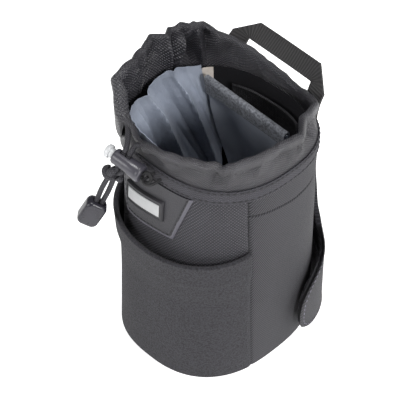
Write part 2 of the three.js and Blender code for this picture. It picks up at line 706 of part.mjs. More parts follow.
function handleStations() {
  const outerHalf = HANDLE_INNER_HALF + WEBBING_W;
  const creaseY = facePoint(1, HANDLE_X, HANDLE_CREASE_Z, 0).y + HANDLE_STAND_OFF;
  const tilt = degToRad(HANDLE_TILT_DEG);
  const leg = (reach, share) => {
    const z = lerp(HANDLE_ROOT_Z, HANDLE_CREASE_Z - HANDLE_SLOPE * reach, share);
    const rootY = faceY(1, HANDLE_X + reach, HANDLE_ROOT_Z, BAND_OUT + GAP + WEBBING_T / 2);
    return vec(HANDLE_X + reach, lerp(rootY, creaseY, Math.sin((share * Math.PI) / 2)), z);
  };
  const band = (reach, along) => {
    const z = HANDLE_CREASE_Z - HANDLE_SLOPE * reach + along * Math.sin(tilt);
    return vec(HANDLE_X + reach, creaseY + along * Math.cos(tilt), z);
  };
  const shares = [0, 0.25, 0.5, 0.75, 1];
  const rise = (sign) => shares.map((s) => [leg(sign * HANDLE_INNER_HALF, s), leg(sign * outerHalf, s)]);
  const corner = (sign) => [
    [
      band(sign * (HANDLE_INNER_HALF - GAP), GAP),
      band(sign * (outerHalf - HANDLE_CORNER), WEBBING_W - HANDLE_CORNER),
    ],
    [
      band(sign * (HANDLE_INNER_HALF - HANDLE_CORNER), GAP),
      band(sign * (HANDLE_INNER_HALF + HANDLE_CORNER), WEBBING_W),
    ],
  ];
  const middle = [-0.4, 0, 0.4].map((share) => {
    const reach = share * HANDLE_INNER_HALF;
    return [band(reach, GAP), band(reach, WEBBING_W)];
  });
  const right = [...rise(1), ...corner(1)].reverse();
  return [...rise(-1), ...corner(-1), ...middle, ...right];
}

function webbing(stations, thickness) {
  const last = stations.length - 1;
  const middle = stations.map(([a, b]) => a.clone().lerp(b, 0.5));
  const normals = stations.map(([a, b], i) => {
    const along = middle[Math.min(i + 1, last)].clone().sub(middle[Math.max(i - 1, 0)]);
    return along.cross(b.clone().sub(a)).normalize();
  });
  const at = (sign) => (u, row) => {
    const i = Math.round(u * last);
    return stations[i][row].clone().addScaledVector(normals[i], (sign * thickness) / 2);
  };
  return sheet(last, 1, at(1), at(-1));
}
add('handle', webbing(handleStations(), WEBBING_T), 'webbing');

// Belt flap on the back: its edge is one smooth curve from the wrapped foot up to the strap's hinge
const BELT_HINGE_Z = SEAM_Z - BELT_HINGE_BELOW_SEAM;
const strapTop = FLAP_EDGE[FLAP_EDGE.length - 1];
const strapLift = (BELT_HINGE_Z - GAP - STRAP_FOOT_Z) / (strapTop.z - STRAP_FOOT_Z);
const edgeZ = (z) => (z > STRAP_FOOT_Z ? STRAP_FOOT_Z + (z - STRAP_FOOT_Z) * strapLift : z);
const flapEdge = new THREE.SplineCurve(FLAP_EDGE.map(({ deg, z }) => new THREE.Vector2(deg, edgeZ(z))));
const BELT_ROWS = 16;

// The foot and the hinge end follow the wall, and the strap between them is nearly flat across
const beltAt = (depth) => (u, row) => {
  const edge = flapEdge.getPoint(row / BELT_ROWS);
  const [z, side] = [edge.y, 2 * u - 1];
  const hinge = smoothstep(z, BELT_HINGE_Z - STRAP_HINGE_RUN, BELT_HINGE_Z);
  const strap = smoothstep(z, STRAP_FOOT_Z, STRAP_FOOT_Z + STRAP_RUN) * (1 - hinge);
  const wall = wallPoint(180 + edge.x * side, z, lerp(FLAP_FOOT_IN, 2 * GAP, hinge) + depth);
  const strapY = wallPoint(180, z, BELT_GAP + depth).y - STRAP_BOW * side * side;
  return vec(wall.x, lerp(wall.y, strapY, strap), z);
};
add('belt_flap', sheet(20, BELT_ROWS, beltAt(BELT_FLAP_T), beltAt(0)), 'twill');

const FLAP_LOOP_ROWS = 6;
const flapLoopAt = (offset) => (u, row) => {
  const edge = flapEdge.getPoint(lerp(FLAP_LOOP_SPAN[0], FLAP_LOOP_SPAN[1], row / FLAP_LOOP_ROWS));
  return wallPoint(180 + (edge.x - FLAP_LOOP_INSET_DEG) * (2 * u - 1), edge.y, offset);
};
const flapLoop = sheet(20, FLAP_LOOP_ROWS, flapLoopAt(FLAP_LOOP_IN + FLAP_LOOP_T), flapLoopAt(FLAP_LOOP_IN));
add('belt_flap_loop', flapLoop, 'loop');

const backTile = (half, z, inner, outer, columns) => {
  const at = (offset) => (u, row) => wallPoint(180 + half * (2 * u - 1), z[row], offset);
  return sheet(columns, 1, at(outer), at(inner));
};
add('belt_flap_hook', backTile(FLAP_HOOK_HALF_DEG, FLAP_HOOK_Z, GAP, FLAP_HOOK_OUT, 10), 'hook');
const anchorZ = [BELT_HINGE_Z + FLAP_ANCHOR_CLEAR, BELT_HINGE_Z + FLAP_ANCHOR_CLEAR + FLAP_ANCHOR_H];
add('belt_flap_anchor', backTile(strapTop.deg, anchorZ, GAP, GAP + FLAP_ANCHOR_T, 12), 'webbing');

// Cord lock frame: its right-hand end at the anchor, its axis and the way the cords run through it
const lockFoot = facePoint(-1, LOCK_X, SEAM_Z - LOCK_BELOW_SEAM, LOCK_STAND_OFF);
const cordWay = LOCK_FALL.clone().addScaledVector(LOCK_AXIS, -LOCK_FALL.dot(LOCK_AXIS)).normalize();
const lockSide = new THREE.Vector3().crossVectors(LOCK_AXIS, cordWay).normalize();
const lockFrame = new THREE.Matrix4().makeBasis(lockSide, LOCK_AXIS, cordWay).setPosition(lockFoot);
const lockPoint = (side, along, way) => vec(side, along, way).applyMatrix4(lockFrame);
const inLock = (geometry) => geometry.applyMatrix4(lockFrame);

// A slot with round ends through the lock, long way along its axis
function cordSlot(centre, length) {
  const radius = CORD_D / 2 + PLUNGER_CLEAR;
  const reach = length / 2 - radius;
  const slot = new THREE.Shape();
  slot.absarc(0, reach, radius, 0, Math.PI, false);
  slot.absarc(0, -reach, radius, Math.PI, 2 * Math.PI, false);
  const depth = 4 * BARREL_R;
  const cut = new THREE.ExtrudeGeometry(slot, { depth, bevelEnabled: false, curveSegments: 6 });
  return cleaned(cut.translate(0, centre, -depth / 2));
}

const pairWidth = 2 * CORD_D + GAP;
const slotLength = pairWidth + 2 * PLUNGER_CLEAR;
const barrelBody = revolved(
  [
    [0, 0],
    [BARREL_R - BARREL_ROUND, 0],
    [BARREL_R, BARREL_ROUND],
    [BARREL_R, BARREL_L - BARREL_ROUND],
    [BARREL_R - BARREL_ROUND, BARREL_L],
    [0, BARREL_L],
  ],
  28,
);
const barrelBore = revolved(
  [
    [0, BORE_FLOOR],
    [BORE_R, BORE_FLOOR],
    [BORE_R, BARREL_L + BARREL_R],
    [0, BARREL_L + BARREL_R],
  ],
  24,
);
const eye = cleaned(new THREE.TorusGeometry(EYE_R, EYE_WIRE_R, 8, 20));
eye.rotateY(Math.PI / 2);
eye.translate(0, -EYE_R, 0);
const barrel = manifoldOf(barrelBody)
  .add(manifoldOf(eye))
  .subtract(manifoldOf(barrelBore))
  .subtract(manifoldOf(cordSlot(SLOT_AT, slotLength)));
add('cord_lock_barrel', inLock(geometryOf(barrel)), 'gloss');

const plungerR = BORE_R - PLUNGER_CLEAR;
const buttonAt = BARREL_L + PLUNGER_TRAVEL + PLUNGER_CLEAR;
const plungerBody = revolved(
  [
    [0, PLUNGER_TAIL],
    [plungerR, PLUNGER_TAIL],
    [plungerR, buttonAt],
    [BUTTON_R, buttonAt],
    [BUTTON_R, buttonAt + BUTTON_H * 0.5],
    [BUTTON_R * 0.75, buttonAt + BUTTON_H * 0.85],
    [0, buttonAt + BUTTON_H],
  ],
  24,
);
const plungerSlot = cordSlot(SLOT_AT + PLUNGER_TRAVEL / 2, slotLength + PLUNGER_TRAVEL);
const plunger = manifoldOf(plungerBody).subtract(manifoldOf(plungerSlot));
add('cord_lock_plunger', inLock(geometryOf(plunger)), 'satin');

// Spring between the bore's floor and the plunger's tail
class Helix extends THREE.Curve {
  getPoint(t, target = new THREE.Vector3()) {
    const radius = plungerR - SPRING_WIRE;
    const from = BORE_FLOOR + GAP + SPRING_WIRE / 2;
    const to = PLUNGER_TAIL - GAP - SPRING_WIRE / 2;
    const turn = 2 * Math.PI * SPRING_TURNS * t;
    return target.set(radius * Math.cos(turn), lerp(from, to, t), radius * Math.sin(turn));
  }
}
const springOptions = { steps: 16 * SPRING_TURNS, extrudePath: new Helix(), bevelEnabled: false };
const spring = cleaned(new THREE.ExtrudeGeometry(circleShape(SPRING_WIRE / 2, 6), springOptions));
add('cord_lock_spring', inLock(spring), 'steel');

// Anchor loop from the seam band through the lock's eye and back to the band
const eyeCentre = lockPoint(0, -EYE_R, 0);
const bandFace = (x, z) => facePoint(-1, x, z, BAND_OUT + GAP);
const loopReach = EYE_R + EYE_WIRE_R;
const anchorRoute = [
  bandFace(eyeCentre.x + 0.4, eyeCentre.z),
  eyeCentre.clone().add(vec(0, 2.4, 0)),
  eyeCentre.clone(),
  eyeCentre.clone().add(vec(0.3, -2.6, -0.1)),
  eyeCentre.clone().add(vec(0.55 * loopReach + 0.4, -loopReach, -0.4)),
  eyeCentre.clone().add(vec(1.25 * loopReach, -2.4, -0.9)),
  eyeCentre.clone().add(vec(1.4 * loopReach, 1.2, -1)),
  bandFace(eyeCentre.x + 1.4 * loopReach, eyeCentre.z - 1),
];
add('cord_lock_anchor', cordTube(anchorRoute, ANCHOR_D, 22), 'webbing');

// Drawcord: round the channel from one side of the notch to the other, with both ends out to the lock
const channelPoint = (deg) => {
  const arcZ = rimZ(deg) - CHANNEL_MID_R;
  return wallPoint(deg, arcZ, collarOffset(deg, arcZ) + CHANNEL_MID_R);
};
const pairStep = (CORD_D + GAP) / 2;
const barrelFace = BARREL_R + 2 * GAP;
const entry = (sign) => lockPoint(0, SLOT_AT + sign * pairStep, -barrelFace - GAP);
const leave = (deg, out, drop) => {
  const z = rimZ(deg) - CHANNEL_MID_R - drop;
  return wallPoint(deg, z, collarOffset(deg, rimZ(deg)) + CHANNEL_MID_R + out);
};
const ringFrom = NOTCH_DEG + NOTCH_HALF_DEG;
const ringTo = NOTCH_DEG - NOTCH_HALF_DEG + 360;
const RING_POINTS = 60;
const ring = Array.from({ length: RING_POINTS + 1 }, (_, i) => channelPoint(lerp(ringFrom, ringTo, i / RING_POINTS)));
const above = (sign, rise, back) => entry(sign).addScaledVector(cordWay, -rise).add(vec(0, back, 0));
const drawcordRoute = [
  entry(-1),
  above(-1, 2, 0.3),
  leave(NOTCH_DEG + 6, 2, 0.3),
  ...ring,
  leave(NOTCH_DEG - 6, 2, 0.3),
  above(1, 2, 0.3),
  entry(1),
];
add('drawcord', cordTube(drawcordRoute, CORD_D, 80), 'cord');

// Strands through the lock, the stopper knot and the two tail strands
const exit = lockPoint(0, SLOT_AT, BARREL_R);
const knotAt = exit.clone().add(KNOT_FROM_EXIT);
const endFace = END_FACE.clone().addScaledVector(END_WAY, -END_FACE.dot(END_WAY)).normalize();
const endSide = new THREE.Vector3().crossVectors(END_WAY, endFace).normalize();
const knotTop = knotAt.clone().addScaledVector(KNOT_FROM_EXIT.clone().normalize(), -(KNOT_R + 3 * GAP));
const endAt = knotAt.clone().add(END_FROM_KNOT);
const endTop = endAt.clone().addScaledVector(END_WAY, -END_H / 2);
const tailWay = endTop.clone().sub(knotAt).normalize();
const knotLow = knotAt.clone().addScaledVector(tailWay, KNOT_R + 1.5 * GAP);

for (const [side, sign] of [['a', -1], ['b', 1]]) {
  const shift = sign * pairStep;
  const lockRoute = [
    lockPoint(0, SLOT_AT + shift, -barrelFace + GAP),
    lockPoint(0, SLOT_AT + shift, 0),
    lockPoint(0, SLOT_AT + shift, BARREL_R),
    knotTop.clone().addScaledVector(LOCK_AXIS, shift),
  ];
  add(`lock_strand_${side}`, cordTube(lockRoute, CORD_D, 8), 'cord');
  const tailRoute = [
    knotLow.clone().addScaledVector(endSide, shift),
    knotLow.clone().lerp(endTop, 0.5).addScaledVector(endSide, 1.25 * shift),
    endTop.clone().addScaledVector(endSide, shift),
    endTop.clone().addScaledVector(endSide, shift).addScaledVector(END_WAY, END_CORD_DEPTH - GAP),
  ];
  add(`tail_strand_${side}`, cordTube(tailRoute, CORD_D, 10), 'cord');
}

// Stopper knot: two rounded turns of the doubled cord, side by side
function knotLobe(shift, stretch) {
  const lobe = cleaned(new THREE.SphereGeometry(KNOT_R, 16, 10));
  lobe.scale(stretch, 1, KNOT_FLATNESS);
  return lobe.translate(shift, 0, 0);
}
const lobes = KNOT_LOBE_STRETCH.map((stretch, i) => manifoldOf(knotLobe((2 * i - 1) * KNOT_LOBE_STEP, stretch)));
const knot = lobes[0].add(lobes[1]);
const knotFace = endFace.clone().addScaledVector(tailWay, -endFace.dot(tailWay)).normalize();
const knotSide = new THREE.Vector3().crossVectors(tailWay, knotFace);
const knotFrame = new THREE.Matrix4().makeBasis(knotSide, tailWay, knotFace).setPosition(knotAt);
add('drawcord_knot', geometryOf(knot).applyMatrix4(knotFrame), 'cord');

// Cord end: a rounded block, parted into two shells round the ends of the cord
function roundedRect(width, height, radius) {
  const [x, y] = [width / 2 - radius, height / 2 - radius];
  const shape = new THREE.Shape();
  shape.absarc(x, y, radius, 0, Math.PI / 2, false);
  shape.absarc(-x, y, radius, Math.PI / 2, Math.PI, false);
  shape.absarc(-x, -y, radius, Math.PI, 1.5 * Math.PI, false);
  shape.absarc(x, -y, radius, 1.5 * Math.PI, 2 * Math.PI, false);
  return shape;
}

function cordEndBlock() {
  const shape = roundedRect(END_W - 2 * END_ROUND, END_H - 2 * END_ROUND, END_CORNER_R - END_ROUND);
  const block = new THREE.ExtrudeGeometry(shape, {
    depth: END_T - 2 * END_ROUND,
    bevelThickness: END_ROUND,
    bevelSize: END_ROUND,
    bevelSegments: 3,
    curveSegments: 5,
  });
  return cleaned(block.translate(0, 0, END_ROUND - END_T / 2));
}

function cordEndMouth() {
  const width = pairWidth + 2 * GAP;
  const mouth = new THREE.BoxGeometry(width, 2 * END_CORD_DEPTH, CORD_D + 2 * GAP);
  return cleaned(mouth.translate(0, -END_H / 2, 0));
}

const endFrame = new THREE.Matrix4().makeBasis(endSide, END_WAY, endFace).setPosition(endAt);
const cordEndCut = manifoldOf(cordEndBlock()).subtract(manifoldOf(cordEndMouth()));
for (const [name, sign] of [['cord_end_front', 1], ['cord_end_back', -1]]) {
  const half = new THREE.BoxGeometry(2 * END_W, 2 * END_H, END_T);
  const keep = cleaned(half.translate(0, 0, sign * (END_T / 2 + GAP / 2)));
  add(name, geometryOf(cordEndCut.intersect(manifoldOf(keep))).applyMatrix4(endFrame), 'satin');
}

export default pouch;
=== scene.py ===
import math
import bmesh
import bpy
from mathutils import Matrix, Vector, noise


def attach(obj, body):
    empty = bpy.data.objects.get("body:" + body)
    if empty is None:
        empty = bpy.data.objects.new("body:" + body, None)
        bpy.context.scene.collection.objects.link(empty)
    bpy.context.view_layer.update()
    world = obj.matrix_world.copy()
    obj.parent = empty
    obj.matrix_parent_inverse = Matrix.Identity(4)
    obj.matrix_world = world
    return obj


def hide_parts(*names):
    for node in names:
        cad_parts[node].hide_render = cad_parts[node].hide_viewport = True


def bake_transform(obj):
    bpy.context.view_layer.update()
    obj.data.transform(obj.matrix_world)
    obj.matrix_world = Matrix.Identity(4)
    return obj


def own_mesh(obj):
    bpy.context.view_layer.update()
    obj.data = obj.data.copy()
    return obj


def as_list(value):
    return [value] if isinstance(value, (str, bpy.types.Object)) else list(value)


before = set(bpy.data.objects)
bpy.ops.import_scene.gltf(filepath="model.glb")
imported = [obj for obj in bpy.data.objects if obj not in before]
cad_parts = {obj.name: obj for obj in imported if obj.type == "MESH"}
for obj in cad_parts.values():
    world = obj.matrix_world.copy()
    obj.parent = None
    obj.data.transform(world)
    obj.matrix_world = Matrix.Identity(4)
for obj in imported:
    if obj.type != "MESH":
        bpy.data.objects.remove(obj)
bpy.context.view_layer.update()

# Shapes below are worked out in millimetres and laid down in metres
MM = 0.001

# Body outline, fabric layers and seam heights
BASE_HALF_X = 53.5
BASE_HALF_Y = 60.0
TOP_HALF_X = 55.0
FRONT_LEAN = 16.5
BACK_LEAN = 1.7
SQUARENESS = 2.5
SEAM_Z = 150.0
FOOT_RADIUS = 2.5
GAP = 0.3
SHELL_T = 1.2
FOAM_T = 6.0
LINING_T = 0.8
BASE_PAD_T = 7.0
PANEL_TOP_Z = SEAM_Z - 7.0
FOAM_TOP_Z = SEAM_Z - 3.0
BAND_OUT = 1.1
FOAM_OUT = -(SHELL_T + GAP)
LINING_OUT = FOAM_OUT - FOAM_T - GAP
PAD_Z = SHELL_T + GAP
BASE_LINING_Z = PAD_Z + BASE_PAD_T + GAP
LINING_FOOT_Z = BASE_LINING_Z + LINING_T + GAP
CORD_D = 3.2

# Radius of the ring round which the noise for creases is read
CREASE_RING = 55.0

# Detail of meshes and lines
WELD = 2e-6
ROW_SAMPLES = (0.1, 0.3, 0.5, 0.7, 0.9)
SPLINE_STEPS = 16
STITCH_STEPS = 400
CORD_SIDES = 12
CUT_SHARP_DEG = 35


# Small helpers for numbers
def mix(a, b, share):
    return a + (b - a) * share


def clamp(value, low=0.0, high=1.0):
    return max(low, min(high, value))


def ease(value, low, high):
    share = clamp((value - low) / (high - low))
    return share * share * (3 - 2 * share)


def ridge(value, centre, width):
    return math.exp(-(((value - centre) / width) ** 2))


def turn_gap(deg, centre):
    return (deg - centre + 180) % 360 - 180


def bump(deg, centre, width):
    """A smooth rise from 0 to 1 about an angle"""
    return ridge(turn_gap(deg, centre), 0, width)


def ladder(share, steps):
    """A value that climbs in straight runs through (share, value) steps"""
    for (a, low), (b, high) in zip(steps, steps[1:]):
        if share <= b:
            return mix(low, high, (share - a) / (b - a))
    return steps[-1][1]


def step_of(stations, share):
    """The two stations about a share of the way through a list, and the share between them"""
    place = share * (len(stations) - 1)
    k = min(int(place), len(stations) - 2)
    return stations[k], stations[k + 1], place - k


def sampled(shape, steps):
    return [shape(i / steps) for i in range(steps + 1)]


def crumple(deg, z, size, seed):
    """Soft uneven waves over the wall, from -1 to 1"""
    turn = math.radians(deg)
    x = CREASE_RING * math.sin(turn)
    y = CREASE_RING * math.cos(turn)
    return noise.noise(Vector((x / size, y / size, z / size + seed)))


# The body's wall
def outline(z):
    share = clamp(z / SEAM_Z)
    half_x = mix(BASE_HALF_X, TOP_HALF_X, share)
    half_y = BASE_HALF_Y - (FRONT_LEAN + BACK_LEAN) / 2 * share
    return half_x, half_y, (FRONT_LEAN - BACK_LEAN) / 2 * share


def stand_off(z, x, y, offset):
    half_x, half_y, centre_y = outline(z)
    power = SQUARENESS - 1
    nx = math.copysign((abs(x) / half_x) ** power, x) / half_x
    ny = math.copysign((abs(y) / half_y) ** power, y) / half_y
    scale = offset / math.hypot(nx, ny)
    return Vector((x + nx * scale, y + centre_y + ny * scale, z))


def wall(deg, z, offset=0.0):
    """A point off the wall at an angle from the front, positive towards +X"""
    half_x, half_y, _ = outline(z)
    x = math.sin(math.radians(deg))
    y = -math.cos(math.radians(deg))
    radius = ((abs(x) / half_x) ** SQUARENESS + (abs(y) / half_y) ** SQUARENESS) ** (-1 / SQUARENESS)
    return stand_off(z, radius * x, radius * y, offset)


def face(side, x, z, offset=0.0):
    """A point off the front (-1) or back (1) face at a distance from the middle"""
    half_x, half_y, _ = outline(z)
    rest = max(0.0, 1 - (abs(x) / half_x) ** SQUARENESS)
    return stand_off(z, x, side * half_y * rest ** (1 / SQUARENESS), offset)


def face_y(side, x, z, offset):
    start = x
    for _ in range(8):
        start += x - face(side, start, z, offset).x
    return face(side, start, z, offset).y


def around(stations, column, deg):
    """A smooth value round the body from a short list of stations, the first at 0 degrees"""
    turn = deg % 360
    count = len(stations)

    def station(i):
        row = stations[i % count]
        return row[0] + 360 * (i // count), row[column]

    first = max(i for i in range(count) if stations[i][0] <= turn)
    (at_a, a), (at_b, b), (at_c, c), (at_d, d) = (station(first + i) for i in (-1, 0, 1, 2))
    span = at_c - at_b
    share = (turn - at_b) / span
    slope_b = (c - a) / (at_c - at_a) * span
    slope_c = (d - b) / (at_d - at_b) * span
    fall = 1 - share
    ends = b * fall * fall * (1 + 2 * share) + c * share * share * (3 - 2 * share)
    return ends + slope_b * share * fall * fall - slope_c * share * share * fall


# Meshes
def face_out(mesh):
    bmesh.ops.recalc_face_normals(mesh, faces=mesh.faces)
    return mesh


def cloth_mesh(columns, rows, shape, flat, ring=False):
    """A grid laid by shape(s, t) in millimetres, with UVs in millimetres of its flat cut"""
    mesh = bmesh.new()
    cut = mesh.loops.layers.uv.new("cut")
    bmesh.ops.create_grid(mesh, x_segments=columns, y_segments=rows, size=0.5, calc_uvs=True)
    run = [0.0]
    for row in range(rows):
        steps = [shape(s, (row + 1) / rows) - shape(s, row / rows) for s in ROW_SAMPLES]
        run.append(run[-1] + sum(step.length for step in steps))
    for cell in mesh.faces:
        for loop in cell.loops:
            row = round(loop[cut].uv.y * rows)
            loop[cut].uv = (loop[cut].uv.x * flat[0], run[row] / run[-1] * flat[1])
    for vert in mesh.verts:
        vert.co = shape(vert.co.x + 0.5, vert.co.y + 0.5) * MM
    if ring:
        bmesh.ops.remove_doubles(mesh, verts=mesh.verts, dist=WELD)
    return mesh


def route(points, steps):
    """A smooth line of even steps through given points"""
    points = [Vector(p) for p in points]
    line = [points[0] * 2 - points[1], *points, points[-1] * 2 - points[-2]]
    dense = []
    for a, b, c, d in zip(line, line[1:], line[2:], line[3:]):
        knots = [0.0]
        for p, q in ((a, b), (b, c), (c, d)):
            knots.append(knots[-1] + max((q - p).length, 1e-6) ** 0.5)
        k0, k1, k2, k3 = knots
        for i in range(SPLINE_STEPS):
            k = mix(k1, k2, i / SPLINE_STEPS)
            ab = a.lerp(b, (k - k0) / (k1 - k0))
            bc = b.lerp(c, (k - k1) / (k2 - k1))
            cd = c.lerp(d, (k - k2) / (k3 - k2))
            abc = ab.lerp(bc, (k - k0) / (k2 - k0))
            bcd = bc.lerp(cd, (k - k1) / (k3 - k1))
            dense.append(abc.lerp(bcd, (k - k1) / (k2 - k1)))
    dense.append(points[-1])
    return even(dense, steps)


def even(dense, steps):
    run = [0.0]
    for p, q in zip(dense, dense[1:]):
        run.append(run[-1] + (q - p).length)
    line = []
    at = 0
    for i in range(steps + 1):
        want = run[-1] * i / steps
        while at < len(dense) - 2 and run[at + 1] < want:
            at += 1
        step = max(run[at + 1] - run[at], 1e-9)
        line.append(dense[at].lerp(dense[at + 1], clamp((want - run[at]) / step)))
    return line


def length_of(line):
    return sum((q - p).length for p, q in zip(line, line[1:]))


def tube_mesh(line, radius, sides):
    """A round cord along a line of even steps, closed at both ends"""
    last = len(line) - 1
    ways = [(line[min(i + 1, last)] - line[max(i - 1, 0)]).normalized() for i in range(last + 1)]
    across = ways[0].orthogonal().normalized()
    frames = []
    for way in ways:
        across = (across - way * across.dot(way)).normalized()
        frames.append((across, way.cross(across)))

    def shape(s, t):
        i = round(t * last)
        turn = 2 * math.pi * s
        return line[i] + (frames[i][0] * math.cos(turn) + frames[i][1] * math.sin(turn)) * radius

    mesh = cloth_mesh(sides, last, shape, (2 * math.pi * radius, length_of(line)), ring=True)
    bmesh.ops.holes_fill(mesh, edges=[e for e in mesh.edges if e.is_boundary], sides=0)
    return mesh


def cord_mesh(line):
    return tube_mesh(line, CORD_D / 2, CORD_SIDES)


def turned_mesh(profile, sides):
    """A profile of (radius, height) points turned about the upright axis"""
    mesh = bmesh.new()
    corners = [mesh.verts.new((r * MM, 0, h * MM)) for r, h in profile]
    edges = [mesh.edges.new(pair) for pair in zip(corners, corners[1:])]
    bmesh.ops.spin(
        mesh, geom=[*corners, *edges], cent=(0, 0, 0), axis=(0, 0, 1), angle=2 * math.pi,
        steps=sides, use_merge=True
    )
    bmesh.ops.remove_doubles(mesh, verts=mesh.verts, dist=WELD)
    return face_out(mesh)


def block_mesh(width, height, depth, corner, edge):
    """A block with rounded corners in its face and softened edges"""
    mesh = bmesh.new()
    bmesh.ops.create_cube(mesh, size=1)
    bmesh.ops.scale(mesh, verts=mesh.verts, vec=(width * MM, height * MM, depth * MM))

    def climb(e):
        return abs(e.verts[0].co.z - e.verts[1].co.z)

    soften(mesh, [e for e in mesh.edges if climb(e) > 1e-6], corner, 8)
    soften(mesh, [e for e in mesh.edges if climb(e) < 1e-9 and e.calc_face_angle(0) > 1], edge, 5)
    return mesh


def soften(mesh, edges, width, segments):
    bmesh.ops.bevel(
        mesh, geom=edges, offset=width * MM, offset_type="OFFSET", affect="EDGES", segments=segments,
        profile=0.5, material=-1
    )


def placing(*columns):
    """The matrix with these columns: three axes and a place"""
    return Matrix([[column[row] for column in columns] for row in range(3)] + [[0, 0, 0, 1]])


# Pieces
def new_object(name, data):
    obj = bpy.data.objects.new(name, data)
    bpy.context.scene.collection.objects.link(obj)
    return obj


def mesh_object(name, mesh):
    data = bpy.data.meshes.new(name)
    mesh.to_mesh(data)
    mesh.free()
    return new_object(name, data)


def smooth(obj, sharp):
    """Smooth shading but for edges over an angle in degrees"""
    obj.data.shade_smooth()
    obj.data.set_sharp_from_angle(angle=math.radians(sharp))


def piece(name, mesh, finish, slot, body, *nodes, thick=0.0, side=-1.0, sharp=42, edge=None):
    """A finished piece: its material, the body that it rides on and the nodes it stands for"""
    obj = mesh_object(name, mesh)
    obj.data.materials.append(finish)
    if thick:
        wall_of = obj.modifiers.new("thickness", "SOLIDIFY")
        wall_of.thickness = thick * MM
        wall_of.offset = side
        if edge:
            obj.data.materials.append(edge)
            wall_of.material_offset_rim = 1
        settle(obj)
    smooth(obj, sharp)
    if nodes:
        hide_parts(*nodes)
    if body:
        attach(obj, body)
    return obj


def settle(obj):
    """Makes what the modifiers show the piece's own mesh"""
    shown = obj.evaluated_get(bpy.context.evaluated_depsgraph_get())
    data = bpy.data.meshes.new_from_object(shown)
    obj.modifiers.clear()
    obj.data = data


def cut_away(obj, mesh):
    """Cuts the shape of another mesh out of a piece"""
    cutter = mesh_object("cutter", mesh)
    cut = obj.modifiers.new("cut", "BOOLEAN")
    cut.operation = "DIFFERENCE"
    cut.solver = "MANIFOLD"
    cut.object = cutter
    settle(obj)
    bpy.data.objects.remove(cutter)
    smooth(obj, CUT_SHARP_DEG)


def paint(obj, finish, chosen):
    """A second material on the cells that are chosen by their place in the flat cut"""
    obj.data.materials.append(finish)
    for cell in obj.data.polygons:
        if chosen(*obj.data.uv_layers["cut"].data[cell.loop_start].uv):
            cell.material_index = 1


def stitches(name, lines, finish, slot, body, dash=2.6, pitch=3.6, radius=0.32):
    """Rows of thread dashes; a line gives a point and the way out of the cloth for a share of its run"""
    mesh = bmesh.new()
    for line in lines:
        dense = sampled(line, STITCH_STEPS)
        places = even([p for p, _ in dense], STITCH_STEPS)
        count = max(1, int(length_of(places) / pitch))
        for i in range(count):
            k = int((i + 0.5) / count * STITCH_STEPS)
            along = (places[min(k + 1, STITCH_STEPS)] - places[max(k - 1, 0)]).normalized()
            out = dense[k][1]
            out = (out - along * out.dot(along)).normalized()
            across = out.cross(along)
            half = along * dash / 2
            lay = placing(half * MM, across * radius * MM, out * radius * 0.8 * MM, places[k] * MM)
            bmesh.ops.create_uvsphere(mesh, u_segments=6, v_segments=4, radius=1, matrix=lay)
    return piece(name, face_out(mesh), finish, slot, body)


def stitch_line(point, offset):
    """A stitch line from a function that gives a point for a share along it and a stand-off"""
    def line(share):
        p = point(share, offset)
        return p, point(share, offset + 1) - p
    return line


def on_wall(degrees, heights, offset):
    """A stitch line on the wall: angle and height are functions of the share along it"""
    return stitch_line(lambda share, out: wall(degrees(share), heights(share), out), offset)


# Materials
class Value:
    """A number in a material's nodes, so that its maths reads as Python"""

    def __init__(self, finish, socket):
        self.finish = finish
        self.socket = socket

    def maths(self, operation, *others):
        return self.finish.node("ShaderNodeMath", {"operation": operation}, [self, *others])

    def __add__(self, other):
        return self.maths("ADD", other)

    def __sub__(self, other):
        return self.maths("SUBTRACT", other)

    def __mul__(self, other):
        return self.maths("MULTIPLY", other)

    def __rsub__(self, other):
        return self.finish.node("ShaderNodeMath", {"operation": "SUBTRACT"}, [other, self])

    __radd__ = __add__
    __rmul__ = __mul__

    def sine(self):
        return self.maths("SINE")

    def power(self, other):
        return self.maths("POWER", other)

    def between(self, low, high):
        sockets = {"Value": self, "From Min": low, "From Max": high}
        return self.finish.node("ShaderNodeMapRange", {"interpolation_type": "SMOOTHSTEP"}, sockets)


